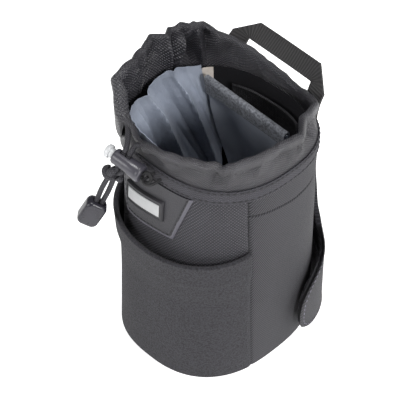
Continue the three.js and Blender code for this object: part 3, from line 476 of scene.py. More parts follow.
class Finish:
    """A material: nodes that feed one Principled shader"""

    def __init__(self, name):
        self.material = bpy.data.materials.new(name)
        self.material.use_nodes = True
        self.tree = self.material.node_tree
        self.shader = self.tree.nodes["Principled BSDF"]

    def node(self, kind, settings=None, sockets=(), output=0):
        """Any node: its settings first, then its sockets by name or in order"""
        made = self.tree.nodes.new(kind)
        for name, value in (settings or {}).items():
            setattr(made, name, value)
        for key, value in sockets.items() if isinstance(sockets, dict) else enumerate(sockets):
            self.plug(made.inputs[key], value)
        return Value(self, made.outputs[output])

    def plug(self, socket, value):
        if isinstance(value, Value):
            self.tree.links.new(value.socket, socket)
        else:
            socket.default_value = value

    def cut(self):
        """Millimetres across and along the piece's flat cut"""
        place = self.node("ShaderNodeUVMap", {"uv_map": "cut"})
        return [self.node("ShaderNodeSeparateXYZ", None, [place], axis) for axis in (0, 1)]

    def here(self):
        return self.node("ShaderNodeTexCoord", None, (), "Object")

    def cloud(self, scale, detail=2.0, rough=0.5):
        """Noise with so many cells to a metre"""
        sockets = {"Vector": self.here(), "Scale": scale, "Detail": detail, "Roughness": rough}
        return self.node("ShaderNodeTexNoise", None, sockets, "Fac")

    def cells(self, scale):
        return self.node("ShaderNodeTexVoronoi", None, {"Vector": self.here(), "Scale": scale}, "Distance")

    def tint(self, share, low, high):
        """A colour between two, by a share"""
        sockets = {0: share, 6: (*low, 1), 7: (*high, 1)}
        return self.node("ShaderNodeMix", {"data_type": "RGBA"}, sockets, 2)

    def done(self, colour, roughness, height=None, depth=0.2, **fixed):
        """Feeds the shader; depth is the bump's height in millimetres"""
        self.plug(self.shader.inputs["Base Color"], colour)
        self.plug(self.shader.inputs["Roughness"], roughness)
        for name, value in fixed.items():
            self.shader.inputs[name.replace("_", " ")].default_value = value
        if height is not None:
            sockets = {"Strength": 1.0, "Distance": depth * MM, "Height": height}
            self.plug(self.shader.inputs["Normal"], self.node("ShaderNodeBump", None, sockets))
        return self.material


def grey(level, blue=0.2):
    """A near-neutral colour with a slight violet-blue cast"""
    return level, level * 0.96, level * (1 + blue)


def wave(value, period):
    """A smooth stripe from 0 to 1 with a period in millimetres"""
    return (value * (2 * math.pi / period)).sine() * 0.5 + 0.5


def plain(name, wear_noise, low, high, rough, swing=0.0, depth=0.1, grain=None, **fixed):
    """A material that varies only with its wear; grain is its surface's own noise where it has one"""
    f = Finish(name)
    wear = f.cloud(*wear_noise)
    height = f.cloud(*grain) if grain else wear
    return f.done(f.tint(wear, low, high), rough + wear * swing, height, depth, **fixed)


def mesh_weave():
    """Front panel: coarse diamond weave"""
    f = Finish("mesh_weave")
    x, y = f.cut()
    cell = wave(x + y, 2.2) * wave(x - y, 2.2)
    thread = f.cloud(900, 3)
    wear = f.cloud(25, 3)
    height = cell + thread * 0.3
    colour = f.tint(cell * 0.75 + wear * 0.35, grey(0.009), grey(0.058))
    return f.done(colour, 0.85 - cell * 0.25, height, 0.5, Sheen_Weight=0.04)


def twill():
    """Side and back: diagonal nylon twill"""
    f = Finish("twill")
    x, y = f.cut()
    wander = f.cloud(60, 2) * 0.5
    rib = wave(x - y + wander, 2.1)
    pick = wave(x + y, 0.9)
    wear = f.cloud(22, 3)
    height = rib + pick * 0.3 + f.cloud(1200, 2) * 0.3
    colour = f.tint(rib * 0.75 + pick * 0.1 + wear * 0.3, grey(0.003), grey(0.036))
    return f.done(colour, 0.82 - rib * 0.15, height, 0.4, Sheen_Weight=0.03)


def coated_nylon():
    """Collar: thin nylon with a faint sheen"""
    f = Finish("coated_nylon")
    x, y = f.cut()
    rib = wave(x + y, 1.9)
    pick = wave(x - y, 1.9)
    wear = f.cloud(40, 4)
    height = rib * pick + f.cloud(260, 3) * 1.4
    colour = f.tint(rib * pick * 0.9 + wear * 0.35, grey(0.003), grey(0.058))
    return f.done(colour, 0.46 - rib * 0.14 + wear * 0.1, height, 0.5, Specular_IOR_Level=0.7)


def seam_tape():
    """Seam band: tape with a cross-stitched face"""
    f = Finish("seam_tape")
    x, y = f.cut()
    cross = wave(x + y * 1.6, 2.4) * wave(x - y * 1.6, 2.4)
    rib = wave(x, 1.2)
    wear = f.cloud(60, 3)
    height = cross + rib * 0.3 + f.cloud(1000, 2) * 0.4
    colour = f.tint(cross * 0.6 + wear * 0.45, grey(0.014), grey(0.06))
    return f.done(colour, 0.75, height, 0.4)


def stretch_knit():
    """Pocket: smooth matte stretch cloth"""
    f = Finish("stretch_knit")
    x, y = f.cut()
    loop = wave(x, 0.75) * wave(y, 0.6)
    wear = f.cloud(18, 3)
    speck = f.cloud(950, 3, 0.7).between(0.36, 0.64)
    colour = f.tint(wear * 0.25 + speck * 0.7 + loop * 0.12, grey(0.005), grey(0.036))
    return f.done(colour, 0.88, loop * 0.5 + speck, 0.3, Sheen_Weight=0.03, Sheen_Roughness=0.5)


def silky_lining():
    """Lining: pale blue-grey cloth with a silky sheen"""
    f = Finish("silky_lining")
    x, y = f.cut()
    weave = wave(x, 0.5) * wave(y, 0.5)
    wear = f.cloud(35, 4)
    crease = f.cloud(90, 4, 0.6)
    colour = f.tint(wear * 0.8 + weave * 0.15, (0.2, 0.226, 0.285), (0.33, 0.362, 0.43))
    return f.done(colour, 0.36 + wear * 0.15, weave * 0.15 + crease * 2.5, 0.6, Sheen_Weight=0.06)


def flap_lining_painted_light():
    """Lining flap: the lining's cloth, a little duller; its paler colours are painted light for a flap that
    stands in shade
    """
    f = Finish("flap_lining_painted_light")
    x, y = f.cut()
    weave = wave(x, 0.5) * wave(y, 0.5)
    wear = f.cloud(30, 4)
    crease = f.cloud(70, 3)
    colour = f.tint(wear * 0.8 + weave * 0.2, (0.22, 0.238, 0.285), (0.38, 0.405, 0.46))
    return f.done(colour, 0.5 + wear * 0.1, weave * 0.15 + crease * 2.0, 0.5, Sheen_Weight=0.05)


def black_lining():
    """Back lining: plain black nylon; on the base lining the same black is painted shade"""
    f = Finish("black_lining")
    x, y = f.cut()
    weave = wave(x, 0.8) * wave(y, 0.8)
    wear = f.cloud(40, 3)
    colour = f.tint(weave * 0.3 + wear * 0.5, grey(0.004), grey(0.014))
    return f.done(colour, 0.85, weave + wear, 0.15, Specular_IOR_Level=0.2)


def hook_tape():
    """Hook strips: black tape with rows of fine hooks"""
    f = Finish("hook_tape")
    x, y = f.cut()
    hooks = (wave(x, 1.3) * wave(y, 1.3)).power(1.6)
    stray = f.cloud(900, 2)
    colour = f.tint(hooks * 0.8 + stray * 0.2, grey(0.004), grey(0.03))
    return f.done(colour, 0.7 - hooks * 0.2, hooks + stray * 0.5, 0.9)


def loop_tape(name, low, high):
    """Loop strips: a fuzzy pile with pale specks"""
    f = Finish(name)
    pile = f.cells(620)
    fuzz = f.cloud(850, 4, 0.75)
    speck = (fuzz * 0.9 + pile * 0.5).between(0.45, 0.95)
    colour = f.tint(speck, low, high)
    return f.done(colour, 0.95, fuzz + pile, 0.6, Sheen_Weight=0.1)


def cut_leather():
    """Label patch: satin synthetic leather with fine grain"""
    f = Finish("cut_leather")
    grain = f.cells(1100)
    wear = f.cloud(45, 3)
    colour = f.tint(wear * 0.7 + grain * 0.3, grey(0.013), grey(0.028))
    return f.done(colour, 0.5 + grain * 0.15, grain + f.cloud(400, 3) * 0.6, 0.12)


def ribbed_webbing():
    """Handle: webbing with fine ribs across it"""
    f = Finish("ribbed_webbing")
    x, y = f.cut()
    rib = wave(y, 1.8)
    pick = wave(x + wave(y, 2.2) * 0.4, 0.9)
    wear = f.cloud(50, 3)
    height = rib + pick * 0.4
    colour = f.tint(rib * 0.45 + pick * 0.15 + wear * 0.3, (0.009, 0.0087, 0.009), (0.042, 0.04, 0.041))
    return f.done(colour, 0.8 - rib * 0.1, height, 0.22)


def braided_cord():
    """Drawcord: a round braid"""
    f = Finish("braided_cord")
    x, y = f.cut()
    braid = wave(x + y, 1.4) * wave(x - y, 1.4)
    wear = f.cloud(150, 2)
    colour = f.tint(braid * 0.7 + wear * 0.3, grey(0.006), grey(0.06))
    return f.done(colour, 0.75 - braid * 0.2, braid, 0.35)


def gloss_plastic():
    """Lock barrel: shiny, finely scratched"""
    f = Finish("gloss_plastic")
    wear = f.cloud(180, 4)
    scratch = f.cloud(900, 3, 0.7)
    colour = f.tint(wear, grey(0.036), grey(0.06))
    return f.done(colour, 0.26 + scratch * 0.14, wear, 0.08)


def closed_foam():
    """Padding: grey foam with fine pores"""
    f = Finish("closed_foam")
    pores = f.cells(1400)
    colour = f.tint(pores + f.cloud(40, 2) * 0.3, grey(0.03), grey(0.065))
    return f.done(colour, 0.95, pores, 0.25)


MESH_WEAVE = mesh_weave()
TWILL = twill()
NYLON = coated_nylon()
TAPE = seam_tape()
KNIT = stretch_knit()
SILK = silky_lining()
FLAP_SILK_PAINTED_LIGHT = flap_lining_painted_light()
BLACK_LINING = black_lining()
HOOKS = hook_tape()
LOOPS = loop_tape("loop_tape", (0.06, 0.065, 0.075), (0.2, 0.21, 0.235))
BLACK_LOOPS = loop_tape("black_loop_tape", grey(0.01), grey(0.05))
LEATHER = cut_leather()
WEBBING = ribbed_webbing()
CORD = braided_cord()
GLOSS = gloss_plastic()
FOAM = closed_foam()

# The back lining's reverse: pale undyed cloth
PALE_SIDE = plain("pale_side", (300, 3), (0.42, 0.37, 0.33), (0.6, 0.55, 0.5), 0.85)

# The patch's paler pressed border
LEATHER_EDGE = plain("leather_edge", (120, 3), grey(0.05), grey(0.09), 0.45, 0.1, grain=(700, 3))

# The label plate and its plain pale face
RUBBER = plain("moulded_rubber", (150, 3), grey(0.008), grey(0.022), 0.5, 0.15, 0.06, (1500, 2))
INSET = plain("pale_inset", (220, 3), (0.36, 0.365, 0.37), (0.46, 0.465, 0.47), 0.45, 0.1, 0.05, (1200, 2))

# Cord end: satin moulded grey
SATIN = plain(
    "satin_plastic", (160, 4), grey(0.014, 0.3), grey(0.028, 0.3), 0.24, 0.08, 0.03, (2200, 2),
    Specular_IOR_Level=0.45
)

# The lock's eye and tie: near-black; on the edge of the belt flap's foot the same near-black is painted shade
DARK_TIE_AND_EDGE_SHADE = plain("dark_tie_and_edge_shade", (300, 3), grey(0.003), grey(0.009), 0.6, 0.15)

# Push button: smooth light grey
PALE = plain("pale_plastic", (200, 3), (0.42, 0.43, 0.44), (0.6, 0.61, 0.62), 0.3, 0.1, 0.03, (1500, 2))

# The lock's spring
STEEL = plain("spring_steel", (500, 3), (0.5, 0.5, 0.5), (0.62, 0.62, 0.62), 0.25, 0.15, 0.03, Metallic=1.0)

# Sewing threads with a fine twist
THREAD = plain("dark_thread", (1600, 2), grey(0.004), grey(0.016), 0.7)
GREY_THREAD = plain("grey_thread", (1600, 2), grey(0.16), grey(0.3), 0.7)


# Front panel and side and back panel: walls that turn under at the foot
SEAM_FOOT_DEG = 68.0
SEAM_TOP_DEG = 61.5
SEAM_GAP_DEG = math.degrees(GAP / BASE_HALF_X)
FOOT_SHARE = 0.05
SEAM_DIP_DEG = 1.1
SIDE_DIP = 0.9

# The tuck line's run round the panel, and how it climbs towards the front; the run up of the seams' stitches
TUCK_RUN = (63.2, 296.8)
TUCK_Z = 125
TUCK_CLIMB = 4.4 / 30
TUCK_CLIMB_DEG = 95
SEAM_RUN = (4, 141)


def seam_deg(z):
    return mix(SEAM_FOOT_DEG, SEAM_TOP_DEG, clamp(z / PANEL_TOP_Z))


def wall_row(share, steps):
    """Offset and height up a panel: the turned foot, then the wall through its steps"""
    if share < FOOT_SHARE:
        turn = math.radians(90 * share / FOOT_SHARE)
        return FOOT_RADIUS * (math.sin(turn) - 1), FOOT_RADIUS * (1 - math.cos(turn))
    return 0.0, ladder(share, [(FOOT_SHARE, FOOT_RADIUS), *steps])


def front_shape(s, t):
    offset, z = wall_row(t, [(1, PANEL_TOP_Z)])
    half = seam_deg(z) - SEAM_GAP_DEG / 2
    side = 2 * s - 1
    from_seam = (1 - abs(side)) * half
    offset -= ridge(from_seam, 0, SEAM_DIP_DEG) + 0.3 * abs(crumple(half * side, z, 30, 3))
    return wall(half * side, z, offset)


piece(
    "front_panel_cloth", cloth_mesh(110, 60, front_shape, (128, 145)), MESH_WEAVE, "ballistic", "pouch",
    "front_panel", thick=SHELL_T
)


def tuck_z(deg):
    """Height of the tuck line round the side and back panel"""
    turn = min(deg % 360, 360 - deg % 360)
    return TUCK_Z + TUCK_CLIMB * max(0.0, TUCK_CLIMB_DEG - turn)


def side_shape(s, t):
    offset, z = wall_row(t, [(0.4, 118), (0.85, 133), (1, PANEL_TOP_Z)])
    edge = seam_deg(z) + SEAM_GAP_DEG / 2
    deg = mix(edge, 360 - edge, s)
    from_seam = min(deg - edge, 360 - edge - deg)
    offset -= SIDE_DIP * ridge(from_seam, 0, SEAM_DIP_DEG) + 0.35 * abs(crumple(deg, z, 34, 8))
    return wall(deg, z, offset - 0.75 * ridge(z, tuck_z(deg), 0.55))


piece(
    "side_back_cloth", cloth_mesh(200, 90, side_shape, (220, 145)), TWILL, "twill", "pouch",
    "side_back_panel", thick=SHELL_T
)


def tuck_deg(share):
    return mix(*TUCK_RUN, share)


def seam_z(share):
    return mix(*SEAM_RUN, share)


tuck_lines = [on_wall(tuck_deg, lambda s: tuck_z(tuck_deg(s)), -0.55)]
stitches("side_tuck_stitches", tuck_lines, THREAD, "twill", "pouch", dash=2.8, pitch=3.5)
seam_lines = [on_wall(lambda s, side=side: side * seam_deg(seam_z(s)), seam_z, -0.75) for side in (-1, 1)]
stitches("side_seam_stitches", seam_lines, THREAD, "twill", "pouch", dash=3.0, pitch=3.6, radius=0.4)


# Base: a flat panel, the pad and its lining
PAD_CROWN = 0.6


def plate_mesh(offset, low, high, crown):
    """A closed plate in the body's outline: under it, round its edge and over it"""
    def shape(s, t):
        over = t >= 0.5
        reach = 2 * min(t, 1 - t)
        edge = wall(360 * s, high, offset)
        centre = Vector((0, outline(high)[2], 0))
        p = centre.lerp(edge, math.sin(reach * math.pi / 2))
        p.z = high + crown * (1 - reach ** 3) if over else low
        return p
    return face_out(cloth_mesh(120, 13, shape, (340, 120), ring=True))


piece("base_cloth", plate_mesh(-FOOT_RADIUS - GAP, 0, SHELL_T, 0), TWILL, "twill", "pouch", "base_panel")
pad_mesh = plate_mesh(LINING_OUT, PAD_Z, PAD_Z + BASE_PAD_T - PAD_CROWN, PAD_CROWN)
pad = piece("base_padding", pad_mesh, FOAM, "foam", "pouch", "base_pad")
# The base lining's black is painted shade, darkening the deep inside of the pouch
floor_cloth = plate_mesh(LINING_OUT, BASE_LINING_Z, BASE_LINING_Z + LINING_T, 0)
piece("base_lining_cloth", floor_cloth, BLACK_LINING, "lining", "pouch", "base_lining")


def foam_shape(s, t):
    """Round the foam's section: up its outer face, over its thinned top and down its inner face"""
    rise = ladder(t, [(0, 0), (0.46, 1), (0.5, 1), (0.96, 0), (1, 0)])
    z = mix(FOOT_RADIUS, FOAM_TOP_Z, rise)
    depth = ladder(t, [(0, 0), (0.46, 0), (0.5, 1), (0.96, 1), (1, 0)])
    thick = (FOAM_T - 0.4) * mix(1, 0.4, ease(z, 122, FOAM_TOP_Z))
    return wall(360 * s, z, FOAM_OUT - 0.3 * abs(crumple(360 * s, z, 30, 5)) - depth * thick)


foam_mesh = face_out(cloth_mesh(120, 50, foam_shape, (340, 300), ring=True))
sleeve = piece("foam_padding", foam_mesh, FOAM, "foam", "pouch", "foam_sleeve")


# Collar: rim height above the seam and lean by angle, listed folds, then the drawcord channel
RIM = [
    (0, 17, -2), (22, 20, -3), (45, 21, -4), (75, 22.5, -5), (95, 20, -6), (117, 17, -11), (132, 16, -10),
    (150, 11.5, -2), (168, 7.5, -0.5), (190, 12, 0), (220, 23.5, -0.5), (242, 36, -1), (255, 35.5, -1.5),
    (272, 37.5, -2), (288, 35.5, -2.5), (305, 34.5, -4), (327, 20, -4), (342, 13, -1.5),
]
COLLAR_ROOT = SEAM_Z + 1
COLLAR_T = 0.7
ROOT_IN = 0.6
RISE_END = 0.55
ROLL_END = 0.8
ROLL_R = 2.6
ROLL_W = 2.0
HEM_DROP = 7.5
NOTCH_DEG = -22.0
NOTCH_HALF_DEG = 11.0

# The thick fold at the collar's left: its place, and what it adds to the roll, the hem's depth and the slack
BULK_DEG = 319
BULK_HALF_DEG = 17
BULK_ROLL = 2.0
BULK_HEM = 12
BULK_SLACK = 5.0

# Folds: angle at the rim, angle at the seam, half width in degrees, depth outwards
COLLAR_FOLDS = [
    (269, 288, 3.6, 6.5), (262, 263, 3.4, -7.0), (256, 259, 3.0, 6.5), (243, 262, 3.0, -7.5),
    (249, 244, 3.0, 6.0), (240, 237, 2.6, -7.0), (235, 234, 3.0, 5.5), (228, 224, 4.5, -2.5),
    (216, 228, 4.0, 2.5), (309, 297, 3.6, 5.5), (291, 304, 3.4, -4.0), (281, 292, 3.0, -2.5),
    (200, 206, 7.0, -1.2), (178, 184, 6.0, 1.0), (46, 38, 3.0, -3.0), (53, 50, 4.0, 1.6),
    (20, 12, 4.0, -1.4), (8, 8, 3.0, 1.0), (72, 64, 5.0, 1.3), (86, 96, 5.0, -1.6),
    (104, 100, 5.0, 2.2), (124, 118, 5.0, -2.4), (139, 146, 4.5, 1.6), (332, 340, 5.0, -1.5),
]
FOLD_SHARPNESS = 1.1


def fold_sum(folds, deg, share):
    """How far the folds push the cloth out, each a crease from its low angle to its top one"""
    out = 0.0
    for top, low, width, depth in folds:
        away = abs(turn_gap(deg, mix(low, top, share)) / width)
        out += depth * math.exp(-away ** FOLD_SHARPNESS)
    return out


# Small dips and rises of the rim: angle, half width in degrees, height
RIM_BUMPS = [(46, 2.6, -3.2), (20, 4, -1.6), (72, 5, 1.4), (241, 3, 1.6)]


def rim_z(deg):
    bumps = sum(height * bump(deg, centre, width) for centre, width, height in RIM_BUMPS)
    return SEAM_Z + around(RIM, 1, deg) + bumps + 0.5 * crumple(deg, 0, 9, 21)


def collar_offset(deg, z):
    rise = clamp((z - COLLAR_ROOT) / (rim_z(deg) - COLLAR_ROOT), 0, 1.2)
    lean = around(RIM, 2, deg)
    held = ease(rise, 0.0, 0.45) * (1 - 0.65 * ease(rise, 0.72, 1.0))
    gather = 0.4 * math.sin(math.radians(deg * 11)) * rise * rise
    slack = BULK_SLACK * left_bulk(deg) * ridge(rise, 0.28, 0.4)
    large = 2.4 * abs(crumple(deg + z * 0.5, z * 0.6, 15, 2))
    small = 1.2 * abs(crumple(deg - z * 0.4, z, 8, 7))
    folds = (fold_sum(COLLAR_FOLDS, deg, rise) + (large + small - 0.9)) * held
    return -ROOT_IN + (lean + ROOT_IN) * rise ** 1.3 + folds + gather + slack


def notch(deg):
    """How far the channel's outer side is open for the cord"""
    away = abs(turn_gap(deg, NOTCH_DEG))
    return 1 - ease(away, NOTCH_HALF_DEG - 3, NOTCH_HALF_DEG)


def left_bulk(deg):
    """Where the collar doubles over at its left into a thick fold"""
    return bump(deg, BULK_DEG, BULK_HALF_DEG)


def roll_w(deg):
    return ROLL_W + BULK_ROLL * left_bulk(deg)


def roll_r(deg):
    return ROLL_R + BULK_ROLL * left_bulk(deg)


def hem_z(deg):
    return max(rim_z(deg) - HEM_DROP - BULK_HEM * left_bulk(deg), COLLAR_ROOT + 1.2)


def collar_shape(s, t):
    deg = 360 * s
    roll_z = rim_z(deg) - roll_r(deg)
    if t <= RISE_END:
        z = mix(PANEL_TOP_Z + 0.6, roll_z, t / RISE_END)
        return wall(deg, z, collar_offset(deg, z))
    start = collar_offset(deg, roll_z)
    last_turn = mix(0, 70, notch(deg))
    turn = math.radians(mix(180, last_turn, clamp((t - RISE_END) / (ROLL_END - RISE_END))))
    offset = start + roll_w(deg) * (1 + math.cos(turn))
    z = roll_z + roll_r(deg) * math.sin(turn)
    down = clamp((t - ROLL_END) / (1 - ROLL_END)) * mix(1, 0.12, notch(deg))
    low = hem_z(deg)
    tucked = collar_offset(deg, low) + COLLAR_T + 0.3 + 0.6 * left_bulk(deg)
    return wall(deg, mix(z, low, down), mix(offset, tucked, down ** 1.6))


collar = piece(
    "collar_cloth", cloth_mesh(400, 60, collar_shape, (345, 58), ring=True), NYLON, "collar", "pouch",
    "collar", thick=COLLAR_T, side=0.0
)


def hem_line(share):
    deg = mix(NOTCH_DEG + NOTCH_HALF_DEG + 2, NOTCH_DEG - NOTCH_HALF_DEG + 358, share)
    z = hem_z(deg) + 1.0
    p = wall(deg, z, collar_offset(deg, z) + COLLAR_T * 1.5 + 0.75)
    return p, wall(deg, z, 20) - wall(deg, z, 0)


hem_thread = stitches(
    "collar_hem_stitches", [hem_line], THREAD, "collar", "pouch", dash=2.0, pitch=3.0, radius=0.26
)


# Seam band: double-stitched tape over the seam
BAND_FOOT = SEAM_Z - 8
BAND_TOP = SEAM_Z + 1
BAND_ROWS = (143.7, 149.7)


def band_shape(s, t):
    deg = 360 * s
    z = mix(BAND_FOOT, BAND_TOP, t)
    edge = 0.5 * (ridge(t, 0, 0.05) + ridge(t, 1, 0.05))
    rows = 0.3 * sum(ridge(z, row, 0.5) for row in BAND_ROWS)
    return wall(deg, z, BAND_OUT - edge - rows - 0.12 * abs(crumple(deg, z, 9, 4)))


piece(
    "collar_band_tape", cloth_mesh(200, 30, band_shape, (345, 9), ring=True), TAPE, "twill", "pouch",
    "collar_band", thick=0.6
)
band_lines = [on_wall(lambda s: 360 * s, lambda s, row=row: row, BAND_OUT - 0.12) for row in BAND_ROWS]
stitches("collar_band_stitches", band_lines, THREAD, "twill", "pouch", dash=2.6, pitch=3.8, radius=0.5)


# Lining: silky cloth that hangs inside the foam in loose folds and leans out to the collar
LINING_LEFT_DEG = -121.0
LINING_RIGHT_DEG = 142.0
LINING_TOP = [
    (0, 159), (60, 159), (142, 156), (241, 157.8), (250, 159.9), (265, 164), (276, 162.4), (285, 160),
    (294, 158.8), (306, 161), (330, 160),
]

# Folds: angle at the top edge, angle 50 mm lower, half width in degrees, depth inwards
LINING_FOLDS = [
    (264, 239, 4.0, 11.0), (290, 268, 3.6, 10.0), (278, 253, 3.6, -4.0), (252, 230, 3.0, 3.0),
    (304, 287, 3.2, 4.0), (325, 312, 5.0, 2.0), (345, 340, 6.0, 2.2), (10, 14, 6.0, 2.0),
    (34, 30, 5.0, 2.4), (58, 62, 6.0, 2.2), (84, 80, 6.0, 2.4), (108, 112, 5.0, 2.0), (128, 126, 5.0, 1.8),
]
FOLD_TOP_Z = 160
FOLD_RUN = 50


def lining_offset(deg, z, folded):
    lean = ease(z, 126, SEAM_Z + 7)
    folds = max(0.0, fold_sum(LINING_FOLDS, deg, 1 - clamp((FOLD_TOP_Z - z) / FOLD_RUN, 0, 1.8)))
    pleats = 4.2 * abs(crumple(deg + (FOLD_TOP_Z - z) * 0.45, z * 0.15, 8, 44))
    loose = folded * ease(z, 14, 90) * mix(1, 0.35, ease(z, 138, 158))
    out = mix(LINING_OUT, -5.5 + 2.5 * bump(deg, 314, 16), lean)
    return min(out - loose * (folds + pleats), collar_offset(deg, z) - 1.1)


def lining_shape(s, t):
    top = around(LINING_TOP, 1, mix(LINING_LEFT_DEG, LINING_RIGHT_DEG, s))
    z = ladder(t, [(0, LINING_FOOT_Z), (0.7, FOAM_TOP_Z - 2), (1, top)])
    deg = mix(LINING_LEFT_DEG - 16 * (1 - ease(z, 105, 158)), LINING_RIGHT_DEG, s)
    return wall(deg, z + 0.8 * crumple(deg, 0, 6, 31) * t, lining_offset(deg, z, 1.0))


lining = piece(
    "lining_cloth", cloth_mesh(360, 120, lining_shape, (232, 152)), SILK, "lining", "pouch",
    "lining", thick=0.5
)


BACK_FLAT = (92, 150)


def back_lining_shape(s, t):
    deg = mix(LINING_RIGHT_DEG + 0.5, 359.5 + LINING_LEFT_DEG, s)
    z = ladder(t, [(0, LINING_FOOT_Z), (0.7, FOAM_TOP_Z - 0.5), (1, SEAM_Z + 5)])
    return wall(deg, z, lining_offset(deg, z, 0.0))


back_cloth = piece(
    "back_lining_cloth", cloth_mesh(80, 40, back_lining_shape, BACK_FLAT), BLACK_LINING, "dark_lining",
    "pouch", "back_lining", thick=0.5
)

# The back lining's left corner is turned over and shows its pale side
paint(back_cloth, PALE_SIDE, lambda x, y: x > 0.91 * BACK_FLAT[0] and y > 0.94 * BACK_FLAT[1])

# Hook strip on the back lining
HOOK_OUT = LINING_OUT - LINING_T - GAP
HOOK_T = 1.5


def wall_strip(deg, z, half_deg, height, inner, thick, columns, flat):
    """A strip on the wall with softened edges; inner is the offset of the face nearer the body's middle"""
    def shape(s, t):
        turn = mix(deg - half_deg, deg + half_deg, s)
        edge = max(ridge(s, 0, 0.012), ridge(s, 1, 0.012), ridge(t, 0, 0.05), ridge(t, 1, 0.05))
        return wall(turn, mix(z, z + height, t), inner + thick * (1 - 0.5 * edge))
    return cloth_mesh(columns, 10, shape, flat)


piece(
    "hook_strip_tape", wall_strip(180, 126.7, 35, 20, HOOK_OUT - HOOK_T, HOOK_T, 60, (58, 20)), HOOKS, "hook",
    "pouch", "hook_strip", thick=1.4
)

# Lining flap with its bound loop strip
FLAP_HINGE_Z = 40.0
FLAP_TOP_Z = 150.4
FLAP_X = -4.0
FLAP_HALF = (20, 34)
FLAP_REACH = 18.0
FLAP_SLOPE = 0.09
FLAP_IN = HOOK_OUT - 0.5
FLAP_FOOT_Y = wall(180, FLAP_HINGE_Z, FLAP_IN).y


def flap_point(side, z, depth):
    rise = (z - FLAP_HINGE_Z) / (FLAP_TOP_Z - FLAP_HINGE_Z)
    x = FLAP_X * rise + side * mix(*FLAP_HALF, rise)
    foot_y = face_y(1, x, FLAP_HINGE_Z, FLAP_IN)
    y = mix(foot_y, FLAP_FOOT_Y - FLAP_REACH, rise)
    return Vector((x, y + depth, z - FLAP_SLOPE * (x - FLAP_X) * rise))


def flap_shape(s, t):
    side = 1 - 2 * s
    z = mix(FLAP_HINGE_Z + GAP, FLAP_TOP_Z - 1.4, t)
    slack = ease(z, FLAP_HINGE_Z, 70) * (1 - ease(z, 128, 139))
    sway = 1.1 * crumple(40 * side, z * 0.7, 20, 6) + 0.9 * math.sin(6 * side + z / 25)
    return flap_point(side, z, 0.4 + slack * sway)


# The flap's paler finish is painted light: the lining's own cloth, lifted out of its shade
flap = piece(
    "lining_flap_cloth", cloth_mesh(60, 70, flap_shape, (56, 112)), FLAP_SILK_PAINTED_LIGHT, "lining", None,
    "lining_flap", thick=0.8
)
LOOP_SIDE = [(1.55, -11), (1.7, -6), (1.65, -1.2), (1.1, -0.25)]
LOOP_FOLD = [*LOOP_SIDE, (0, 0), *((-depth, drop) for depth, drop in reversed(LOOP_SIDE))]


def loop_shape(s, t):
    side = (1 - 2 * s) * 0.99
    low, high, part = step_of(LOOP_FOLD, t)
    depth = mix(low[0], high[0], part)
    drop = mix(low[1], high[1], part)
    rough = 0.25 * noise.noise(Vector((side * 30, drop * 0.9, depth)))
    return flap_point(side, FLAP_TOP_Z + drop + rough, depth)


loops = piece(
    "loop_strip_tape", cloth_mesh(70, 24, loop_shape, (68, 24)), LOOPS, "loop", "lining_flap",
    "loop_strip", thick=0.8, side=1.0
)
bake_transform(flap)


# Stretch pocket and its hem
POCKET_TOP_Z = 96.5
POCKET_FOOT_Z = FOOT_RADIUS + GAP
POCKET_SAG = 6.5
POCKET_BELLY = 6.5
HEM_H = 18.0
HEM_FALL = [(0, HEM_H), (0.6, 0.8), (0.7, 0.0), (0.8, 0.8), (1, 8.0)]
HEM_DEPTH = [
    (0, 1.35), (0.08, 1.75), (0.6, 1.9), (0.66, 1.4), (0.7, 0.5), (0.74, -0.5), (0.8, -0.9), (1, -0.9),
]


def pocket_top(side):
    return POCKET_TOP_Z + POCKET_SAG * side * side


def pocket_offset(side, z):
    top = pocket_top(side)
    rise = clamp((z - POCKET_FOOT_Z) / (top - POCKET_FOOT_Z))
    hem_room = 1.2 * ease(z, top - 2 * HEM_H, top - HEM_H)
    belly = POCKET_BELLY * (1 - abs(side) ** 1.6) * rise ** 3.2
    return GAP + hem_room + belly


def pocket_wall(side, z, offset):
    return wall((seam_deg(z) - SEAM_GAP_DEG / 2) * side, z, offset)


def pocket_edge(side):
    """The pocket is sewn into the side seams, so its sides dip there"""
    return 0.9 * ridge(1 - abs(side), 0, 0.018)


def pocket_shape(s, t):
    side = 2 * s - 1
    z = mix(POCKET_FOOT_Z, pocket_top(side) - 1.3, t)
    slack = 0.35 * crumple(60 * side, z, 26, 15) * ease(t, 0.0, 0.3)
    return pocket_wall(side, z, pocket_offset(side, z) + 0.85 + slack - pocket_edge(side))


pocket = piece(
    "stretch_pocket_cloth", cloth_mesh(110, 60, pocket_shape, (128, 95)), KNIT, "stretch", "pouch",
    "stretch_pocket", thick=0.8
)


def hem_shape(s, t):
    side = 2 * s - 1
    z = pocket_top(side) - ladder(t, HEM_FALL)
    offset = pocket_offset(side, z) + ladder(t, HEM_DEPTH)
    return pocket_wall(side, z, offset - 0.7 * pocket_edge(side))


pocket_hem = piece(
    "pocket_hem_cloth", cloth_mesh(110, 40, hem_shape, (128, 28)), KNIT, "stretch", "pouch",
    "pocket_hem", thick=0.5, side=0.0
)


# Label patch, plate and plain inset
PATCH_X = -6.0
PATCH_FOOT_Z = 104.5
PATCH_TOP_Z = SEAM_Z - 8 - GAP
PATCH_SLOPE = 0.12
PATCH_OUT = 1.35
PATCH_REACH = (21, 33)
PATCH_FLAT = (66, 38)
PLATE_X = -8.2
PLATE_Z = 122.5


def patch_point(side, t, offset):
    reach = mix(*PATCH_REACH, t) * side
    foot = PATCH_FOOT_Z + PATCH_SLOPE * reach
    return face(-1, PATCH_X + reach, mix(foot, PATCH_TOP_Z, t), offset)


def border_depth(side, t):
    """Millimetres in from the patch's nearest free edge"""
    return min((1 - abs(side)) * mix(*PATCH_REACH, t), t * PATCH_FLAT[1])


def patch_shape(s, t):
    side = 2 * s - 1
    depth = border_depth(side, t)
    round_off = 0.9 * (1 - ease(depth, 0, 1.3))
    groove = 0.45 * ridge(depth, 3.0, 0.45)
    return patch_point(side, t, PATCH_OUT - round_off - groove)


